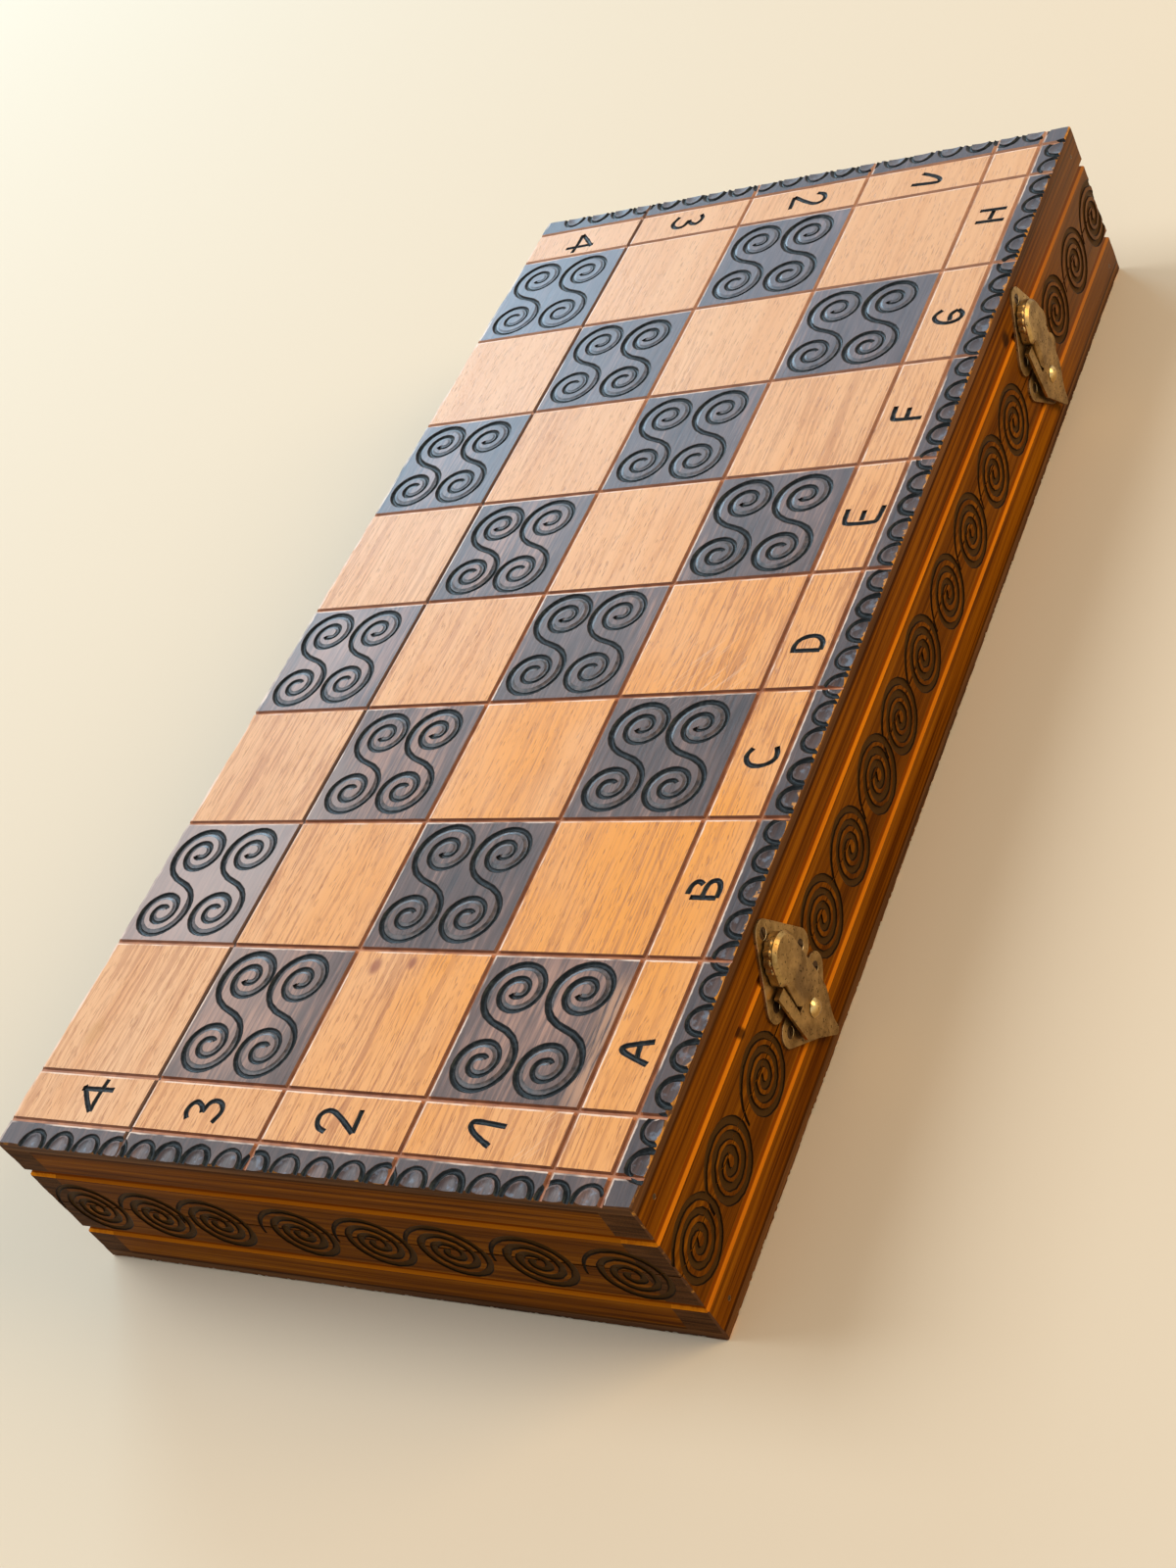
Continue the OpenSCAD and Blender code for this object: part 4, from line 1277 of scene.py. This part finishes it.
def spiral_path(centre, size, pressure, seed):
    """The line of a spiral about its centre, from its light start on the left to its inner end."""
    path = []
    turns = math.tau * SPIRAL_TURNS
    for step in range(SPIRAL_POINTS + 1):
        share = step / SPIRAL_POINTS
        angle = -SPIRAL_LEAD + (turns + SPIRAL_LEAD) * share
        flare = SPIRAL_FLARE * max(0.0, -angle / SPIRAL_LEAD) ** 2
        radius = size * (SPIRAL_RADIUS - SPIRAL_STEP * angle / math.tau + flare)
        around = math.pi / 2 - angle
        place = centre + radius * Vector((math.cos(around), math.sin(around)))
        touch = min(1.0, SPIRAL_TOUCH + SPIRAL_PRESS * share)
        width = SPIRAL_WIDTH * pressure * touch * wavering(place, seed, SPIRAL_WAVER)
        path.append((place.x, place.y, width))
    return path


def row_places(count, pitch, free=()):
    """Places along a side, left to right, without those that hardware covers."""
    for index in range(count):
        x = (index - (count - 1) / 2) * pitch
        if all(abs(x - taken) > pitch / 2 for taken in free):
            yield x


def spiral_cutters(name, place, xs):
    """A side's spirals in two cutters, because neighbours may touch."""
    layers = ([], [])
    for index, x in enumerate(xs):
        across = x + HAND.uniform(-SPIRAL_SLIP, SPIRAL_SLIP) * MM
        centre = Vector((across, -SPIRAL_DROP + HAND.uniform(-SPIRAL_LIFT, SPIRAL_LIFT) * MM))
        size = HAND.uniform(*SPIRAL_SIZES)
        layers[index % 2].append(spiral_path(centre, size, HAND.uniform(*SPIRAL_PRESSURES), index))
    return [
        sweep(f"{name} spirals {layer}", SPIRAL_TOOL, paths, place, BURNED_RAIL)
        for layer, paths in enumerate(layers)
    ]


SIDE_CUTTERS = spiral_cutters("front", FRONT_FACE, [x * MM for x in FRONT_ROW])
SIDE_CUTTERS += spiral_cutters("back", BACK_FACE, row_places(LONG_COUNT, LONG_PITCH, HINGE_X))
SIDE_CUTTERS += spiral_cutters("left", LEFT_FACE, [x * MM for x in LEFT_ROW])
SIDE_CUTTERS += spiral_cutters("right", RIGHT_FACE, row_places(SHORT_COUNT, SHORT_PITCH))
print("spirals along a side:", len(FRONT_ROW), "and", len(LEFT_ROW))

# %% [markdown]
# Handling wears the outer edges first. A worn arris is a narrow, uneven bevel that shows bare wood. The
# tool for it is a flat bar that follows the edge with its flat side turned in, and its distance from the
# edge wavers, so it bites more in some places and hardly at all in others. The bars' and the seam's
# sections are in millimetres again.

# %% Worn edges
WEAR_STEP = 2.5 * MM
WEAR_WAVES = 220
WEAR_PATCHES = 60
WEAR_LEAST = 0.05 * MM
PATCH_DEPTH = 1.3
PATCH_START = 0.1
LONG_WEAR = (0.32 * MM, 0.3 * MM)
SHORT_WEAR = (0.26 * MM, 0.25 * MM)
CORNER_WEAR = (0.3 * MM, 0.25 * MM)
SEAM_DEPTH = 0.22
SEAM_WAVER = 0.6
SEAM_WAVES = 120
WEAR_TOOL = tool_section("wear tool", [(-3, -1), (3, -1), (3, 4), (-3, 4)])
SEAM_TOOL = tool_section("seam tool", [(0, -1), (1, 0), (0, 1), (-1, 0)])


def wear_cutter(name, start, end, out, depth, spread, material):
    """A bar along the edge from start to end that bites depth deep, give or take spread, against out."""
    start, end, out = Vector(start), Vector(end), Vector(out).normalized()
    along = (end - start).normalized()
    count = int((end - start).length / WEAR_STEP)
    path = []
    for step in range(count + 1):
        reach = (end - start).length * step / count
        place = start + reach * along
        patch = max(0.0, noise.noise(place * WEAR_PATCHES) - PATCH_START)
        bite = depth + spread * noise.noise(place * WEAR_WAVES) + PATCH_DEPTH * spread * patch
        path.append((reach, 0, max(bite, WEAR_LEAST) / MM))
    place = Matrix.Translation(start) @ Matrix((along, out.cross(along), out)).transposed().to_4x4()
    return sweep(name, WEAR_TOOL, [path], place, material)


def seam_cutter(place, length):
    """A small V along the joint between the halves, where their edges have rounded and dirt has gathered."""
    path = []
    count = int(length / WEAR_STEP)
    for step in range(count + 1):
        across = length * (step / count - 0.5)
        wave = noise.noise(Vector((across, length, 0)) * SEAM_WAVES)
        path.append((across, 0, SEAM_DEPTH * (1 + SEAM_WAVER * wave)))
    return sweep("seam", SEAM_TOOL, [path], place, SEAM)


def edge_wear():
    """Cutters for the arrises of the playing faces, for the box's four corners and for the joint."""
    layers = []
    for z, up in ((TOP_Z, 1), (0, -1)):
        for y, out in ((FRONT_Y, -1), (BACK_Y, 1)):
            ends = (-END_X - OVERRUN, y, z), (END_X + OVERRUN, y, z)
            layers.append(wear_cutter("long arris", *ends, (0, out, up), *LONG_WEAR, WORN_WOOD))
        for x, out in ((-END_X, -1), (END_X, 1)):
            ends = (x, FRONT_Y - OVERRUN, z), (x, BACK_Y + OVERRUN, z)
            layers.append(wear_cutter("short arris", *ends, (out, 0, up), *SHORT_WEAR, WORN_DARK))
    for x, out_x in ((-END_X, -1), (END_X, 1)):
        for y, out_y in ((FRONT_Y, -1), (BACK_Y, 1)):
            ends = (x, y, -OVERRUN), (x, y, TOP_Z + OVERRUN)
            layers.append(wear_cutter("corner", *ends, (out_x, out_y, 0), *CORNER_WEAR, WORN_DARK))
    layers += [seam_cutter(side, 2 * OVERRUN + 2 * END_X) for side in LONG_SIDES]
    layers += [seam_cutter(side, 2 * OVERRUN + (BACK_Y - FRONT_Y)) for side in SHORT_SIDES]
    return layers


WEAR_CUTTERS = edge_wear()
print("worn edges:", len(WEAR_CUTTERS))

# %% [markdown]
# Boolean cuts need clean solids. A CAD node arrives as loose triangles, so its copy is merged first. Then
# each of its faces gets a material from where it lies and which way it looks, while the shape is still
# simple. The boolean passes these on, and gives the cut its own material.

# %% Carving
BODY_OF = {node: body for body, nodes in frame["record"]["behaviour"]["bodies"].items() for node in nodes}
SLOT_OF = {part["node"]: part["material_slot"] for part in frame["record"]["subparts"]}
SHARP = math.radians(38)
CAD_MERGE = 0.1 * TINY


def merged(node):
    """A CAD node's loose triangles as one bmesh with shared corners."""
    bm = bmesh.new()
    bm.from_mesh(frame["nodes"][node].data)
    bmesh.ops.remove_doubles(bm, verts=bm.verts, dist=CAD_MERGE)
    return bm


def solid_copy(node, choose):
    """A merged copy of a CAD node; choose gives a material for a face's centre and normal."""
    bm = merged(node)
    bmesh.ops.dissolve_degenerate(bm, edges=bm.edges, dist=CAD_MERGE)
    bm.normal_update()
    mesh = bpy.data.meshes.new(node + "_made")
    palette = []
    for part in bm.faces:
        material = choose(part.calc_center_median(), part.normal)
        if material not in palette:
            palette.append(material)
        part.material_index = palette.index(material)
    bm.to_mesh(mesh)
    bm.free()
    for material in palette:
        mesh.materials.append(material)
    return mesh


def overlap(mesh, cutter):
    """True if the boxes round the two meshes meet."""
    for axis in range(3):
        ours = [v.co[axis] for v in mesh.vertices]
        theirs = [v.co[axis] for v in cutter.data.vertices]
        if max(ours) < min(theirs) or max(theirs) < min(ours):
            return False
    return True


def carve(mesh, cutters):
    """Takes the cutters out of the mesh one after another."""
    wood = add_object("wood", mesh)
    for cutter in cutters:
        if overlap(mesh, cutter):
            cut = wood.modifiers.new(cutter.name, "BOOLEAN")
            cut.operation = "DIFFERENCE"
            cut.solver = "MANIFOLD"
            cut.material_mode = "TRANSFER"
            cut.object = cutter
    return finished_mesh(wood)


def shade(mesh):
    """Smooth faces, with sharp edges where the shape turns or the finish changes."""
    bm = bmesh.new()
    bm.from_mesh(mesh)
    for part in bm.faces:
        part.smooth = True
    for edge in bm.edges:
        same = len({part.material_index for part in edge.link_faces}) == 1
        edge.smooth = edge.is_manifold and same and edge.calc_face_angle(math.pi) < SHARP
    bm.to_mesh(mesh)
    bm.free()


def stand_for(node, mesh):
    """Puts the finished mesh in the place of its CAD node."""
    shade(mesh)
    piece = add_object(node + "_finished", mesh)
    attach(piece, BODY_OF[node])
    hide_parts(node)
    return piece


print("carving ready")

# %% [markdown]
# The boards are carved first. The milled lines divide a playing face into cells, and each cell has faces of
# its own, so a face's centre says in which square it lies and whether that square is light or dark. Faces
# that lean are the walls and floors of the lines, and faces that look sideways are the board's edge.

# %% Boards
FACING = 0.9
LEANING = 0.2


def board_material(centre, normal):
    """The finish of a face of a board, from the cell that it lies in."""
    half = "upper" if centre.z > MID_Z else "lower"
    depth = MID_Z - abs(centre.z - MID_Z)
    outward = HALF_SIDE[half] * normal.z
    if outward > FACING and depth < TINY:
        if abs(centre.x) > STRIP_END or centre.y < STRIP_Y:
            return STAINED_WOOD
        if abs(centre.x) > FILES_END or centre.y < LETTERS_Y:
            return LIGHT_WOOD
        file = int((centre.x + FILES_END) / SQUARE)
        row = int((BACK_Y - centre.y) / SQUARE)
        return STAINED_WOOD if is_dark(half, file, row) else LIGHT_WOOD
    if outward > LEANING:
        return GLUE_LINE if abs(centre.y - GLUE_Y) < LINE_HALF else MILLED_WOOD
    if abs(normal.x) > FACING:
        return BOARD_EDGE["Y"]
    if abs(normal.y) > FACING and abs(centre.y) > BACK_Y - TINY:
        return BOARD_EDGE["X"]
    return RAW_WOOD


for half in ("upper", "lower"):
    for stave in ("main", "hinge"):
        node = f"{half}_board_{stave}_stave"
        stand_for(node, carve(solid_copy(node, board_material), CUTTERS[half] + WEAR_CUTTERS))
        print(node, len(bpy.data.objects[node + "_finished"].data.polygons), "faces")

# %% [markdown]
# The rails are cut in the same way. Their outer faces are stained, except where the V-groove runs, and the
# long rails show their end grain beside the end rails. What faces the tray is bare. The flanks of the
# V-groove slope at 45 degrees, which is how they are told from the rest.

# %% Rails
UPRIGHT = 0.1
SLOPED = (0.6, 0.8)
JOINT_FACE = 1 * MM


def rail_material(axis):
    """The finish of a face of a rail whose grain runs along that axis, for its centre and normal."""
    def choose(centre, normal):
        outside = abs(centre.x) > END_X - TINY or abs(centre.y) > BACK_Y - TINY
        if abs(normal.z) > FACING and abs(centre.z - MID_Z) < JOINT_FACE:
            return RAIL_WOOD[axis]
        if outside and abs(normal.z) < UPRIGHT:
            return END_GRAIN if axis == "X" and abs(normal.x) > FACING else RAIL_WOOD[axis]
        if SLOPED[0] < abs(normal.z) < SLOPED[1]:
            # The flank that looks down gets the darker copy of the groove's finish, as painted shade.
            return GROOVE_WOOD["bare" if normal.z > 0 else "stained", axis]
        return RAW_WOOD
    return choose


for half in ("upper", "lower"):
    for side, axis in (("front", "X"), ("back", "X"), ("left", "Y"), ("right", "Y")):
        node = f"{half}_{side}_rail"
        mesh = carve(solid_copy(node, rail_material(axis)), SIDE_CUTTERS + WEAR_CUTTERS)
        print(stand_for(node, mesh).name, len(mesh.polygons), "faces")

# %% [markdown]
# The latches are pressed from sheet and plated to look like old brass. The plating has dulled unevenly, dirt
# has gathered in dark specks, and the edges are rubbed bright. The pins, nails and brads are steel that has
# gone brown. A metal shows its surroundings, so its colour sits in a few broad clouds, and most of the work
# is done by a roughness that varies.

# %% Metal finishes
BRASS_DULL = (0.215, 0.125, 0.036)
BRASS_WORN = (0.50, 0.325, 0.120)
BRASS_RUBBED = (0.86, 0.66, 0.36)
BRASS_HINGE = (0.62, 0.42, 0.16)
BRASS_DIRT = (0.045, 0.026, 0.012)
STEEL_BROWN = (0.045, 0.024, 0.010)
STEEL_GREY = (0.12, 0.074, 0.036)
STEEL_RUBBED = (0.13, 0.085, 0.048)
DIRT_ROUGH = 0.3


def make_metal(name, dull, worn, dirt, rough):
    """Dull metal with worn clouds and dark specks; rough is the roughness of worn and of dull metal."""
    shader = Shader(name, Metallic=1.0)
    clouds = shader.noise((170, 170, 170), detail=5.0, rough=0.68)
    pits = shader.noise((1100, 1100, 1100), detail=2.0)
    specks = shader.noise((1150, 1150, 1150), detail=1.0)
    dirty = shader.math("MULTIPLY", shader.between(specks, 0.63, 0.69), dirt)
    colour = shader.mix(dirty, shader.ramp(clouds, [(0.38, dull), (0.64, worn)]), BRASS_DIRT)
    shader.bump(pits, 0.03 * MM, 0.5)
    worn_rough, dull_rough = rough
    sheen = shader.spread(clouds, dull_rough, worn_rough)
    return shader.finish(colour, shader.math("MULTIPLY_ADD", dirty, DIRT_ROUGH, sheen, clamp=True))


OLD_BRASS = make_metal("old brass", BRASS_DULL, BRASS_WORN, 0.8, (0.26, 0.46))
DOMED_BRASS = make_metal("domed brass", BRASS_WORN, BRASS_HINGE, 0.6, (0.12, 0.24))
RUBBED_BRASS = make_metal("rubbed brass", BRASS_WORN, BRASS_RUBBED, 0.4, (0.18, 0.34))
HINGE_BRASS = make_metal("hinge brass", BRASS_WORN, BRASS_HINGE, 0.6, (0.22, 0.42))
BROWN_STEEL = make_metal("brown steel", STEEL_BROWN, STEEL_GREY, 0.6, (0.30, 0.55))
RUBBED_STEEL = make_metal("rubbed steel", STEEL_GREY, STEEL_RUBBED, 0.4, (0.22, 0.40))
print("metals:", OLD_BRASS.name, HINGE_BRASS.name, BROWN_STEEL.name)

# %% [markdown]
# A pressing has no sharp edge: the punch rolls one side over, and tumbling rounds the other. So each metal
# piece is a merged copy of its CAD node. Its flat parts are joined to whole faces, its edges get a narrow
# bevel, and the bevel gets the rubbed finish. The nails are hammered in, and a worn slot crosses each head.

# %% Metal pieces
CREASE = math.radians(32)
FLAT = math.radians(0.5)
HEAD_ACROSS = 4 * MM
SLOT_SIZE = Vector((2.3, 0.42, 0.5)) * MM
METALS = {
    "latch_metal": (OLD_BRASS, RUBBED_BRASS, 0.10 * MM),
    "hinge_brass": (HINGE_BRASS, RUBBED_BRASS, 0.12 * MM),
    "steel": (BROWN_STEEL, RUBBED_STEEL, 0.06 * MM),
}


def bevelled_copy(node, finish, rubbed, width):
    """A merged copy of a CAD node whose creases are bevelled in the rubbed finish."""
    mesh = solid_copy(node, lambda centre, normal: finish)
    mesh.materials.append(rubbed)
    bm = bmesh.new()
    bm.from_mesh(mesh)
    bmesh.ops.dissolve_limit(bm, angle_limit=FLAT, verts=bm.verts, edges=bm.edges)
    creases = [edge for edge in bm.edges if edge.is_manifold and edge.calc_face_angle() > CREASE]
    made = bmesh.ops.bevel(
        bm, geom=creases, offset=width, offset_type="OFFSET", segments=2, profile=0.5, affect="EDGES",
        clamp_overlap=True, material=-1,
    )
    for part in made["faces"]:
        part.material_index = mesh.materials.find(rubbed.name)
    bm.to_mesh(mesh)
    bm.free()
    return mesh


def head_middles(node):
    """The middle of the head of each nail of a group, on the plane of the heads."""
    bm = merged(node)
    plane = min(v.co.y for v in bm.verts)
    rims = [v.co.copy() for v in bm.verts if v.co.y < plane + TINY]
    bm.free()
    while rims:
        first = rims[0]
        head = [co for co in rims if (co - first).length < HEAD_ACROSS]
        rims = [co for co in rims if (co - first).length >= HEAD_ACROSS]
        yield sum(head, Vector()) / len(head)


def nail_slots(node):
    """One cutter with a bar across each nail's head, turned as the hammer left it."""
    bm = bmesh.new()
    for middle in head_middles(node):
        turn = Matrix.Rotation(HAND.uniform(0, math.pi), 4, "Y") @ Matrix.Rotation(math.pi / 2, 4, "X")
        place = Matrix.Translation(middle) @ turn @ Matrix.Diagonal((*SLOT_SIZE, 1))
        bmesh.ops.create_cube(bm, size=1, matrix=place)
    return cutter_from(bm, node + " slots", Matrix(), BROWN_STEEL)


for node, slot in SLOT_OF.items():
    if slot in METALS:
        finish, rubbed, width = METALS[slot]
        mesh = bevelled_copy(node, DOMED_BRASS if node.endswith("_rivet") else finish, rubbed, width)
        if node.endswith("_nails"):
            slots = nail_slots(node)
            mesh = carve(mesh, [slots])
            bpy.data.objects.remove(slots)
        print(stand_for(node, mesh).name, len(mesh.polygons), "faces")

# %% [markdown]
# The cutters and the tools' sections have done their work. They are taken out of the scene, so that only
# the finished pieces and the CAD nodes that stay are left in it.

# %% Clear away the tools
TOOLS = [LINE_TOOL, FLANK_TOOL, SPIRAL_TOOL, WEAR_TOOL, SEAM_TOOL]
USED = [*CUTTERS["upper"], *CUTTERS["lower"], *SIDE_CUTTERS, *WEAR_CUTTERS, *TOOLS]
for tool in USED:
    bpy.data.objects.remove(tool)
print("tools taken away:", len(USED))

# %% [markdown]
# The box stands on a plain pale floor. A large soft light stands high on the hinge side, and a low bluish
# one beyond the far hinge corner: the varnish mirrors the low one as a cool sheen that grows towards that
# corner. A warm one on the latch side keeps the front from going grey. To the camera and to reflections the
# world is plain white, and to everything else it is a weak even light, which leaves the shadows soft.

# %% Floor and light
FLOOR_SIZE = 3.6
FLOOR_GAP = 0.05 * MM
FLOOR_COLOUR = (0.83, 0.73, 0.57, 1)
FLOOR_ROUGH = 0.8
WORLD_LIGHT = 0.32


def make_floor():
    """A plane a hair below the box, so that the two never share a surface."""
    bm = bmesh.new()
    place = Matrix.Translation((0, 0, -FLOOR_GAP))
    bmesh.ops.create_grid(bm, x_segments=1, y_segments=1, size=FLOOR_SIZE / 2, matrix=place)
    mesh = bpy.data.meshes.new("floor")
    bm.to_mesh(mesh)
    bm.free()
    mesh.materials.append(Shader("floor", Base_Color=FLOOR_COLOUR, Roughness=FLOOR_ROUGH).material)
    floor = add_object("floor", mesh)
    floor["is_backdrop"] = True


def add_light(name, place, size, power, colour):
    """A round soft light that shines at the box."""
    light = bpy.data.lights.new(name, "AREA")
    light.shape = "DISK"
    light.size = size
    light.energy = power
    light.color = colour
    lamp = add_object(name, light)
    lamp.location = place
    lamp.rotation_euler = (-Vector(place)).to_track_quat("-Z", "Y").to_euler()


def make_world():
    """White to the camera, to glossy and to transmission rays, and WORLD_LIGHT to all others."""
    world = bpy.data.worlds.new("studio")
    bpy.context.scene.world = world
    world.use_nodes = True
    nodes, links = world.node_tree.nodes, world.node_tree.links
    rays = nodes.new("ShaderNodeLightPath").outputs
    seen = rays["Is Camera Ray"]
    for kind in ("Is Glossy Ray", "Is Transmission Ray"):
        either = nodes.new("ShaderNodeMath")
        either.operation = "MAXIMUM"
        links.new(seen, either.inputs[0])
        links.new(rays[kind], either.inputs[1])
        seen = either.outputs[0]
    strength = nodes.new("ShaderNodeMapRange")
    strength.inputs["To Min"].default_value = WORLD_LIGHT
    links.new(seen, strength.inputs["Value"])
    nodes["Background"].inputs["Color"].default_value = (1, 1, 1, 1)
    links.new(strength.outputs[0], nodes["Background"].inputs["Strength"])


make_floor()
make_world()
add_light("window", place=(0.05, 1.5, 1.9), size=1.5, power=31, colour=(0.93, 0.97, 1.0))
add_light("low window", place=(1.75, 1.80, 0.95), size=1.1, power=25, colour=(0.52, 0.80, 1.0))
add_light("front fill", place=(0.5, -1.7, 1.1), size=1.3, power=24, colour=(1.0, 0.70, 0.37))
add_light("end fill", place=(-1.6, -0.2, 0.8), size=1.1, power=1.2, colour=(1.0, 0.76, 0.48))
bpy.context.scene.view_settings.view_transform = "Standard"

# %% [markdown]
# Last, the box round the CAD model and the box round what has been made are shown side by side: the
# finishes may not change the size of the object.

# %% Sizes and finish
boxes = {"cad": cad_box, "visual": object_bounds()}
{name: [list(corner) for corner in box] for name, box in boxes.items()}
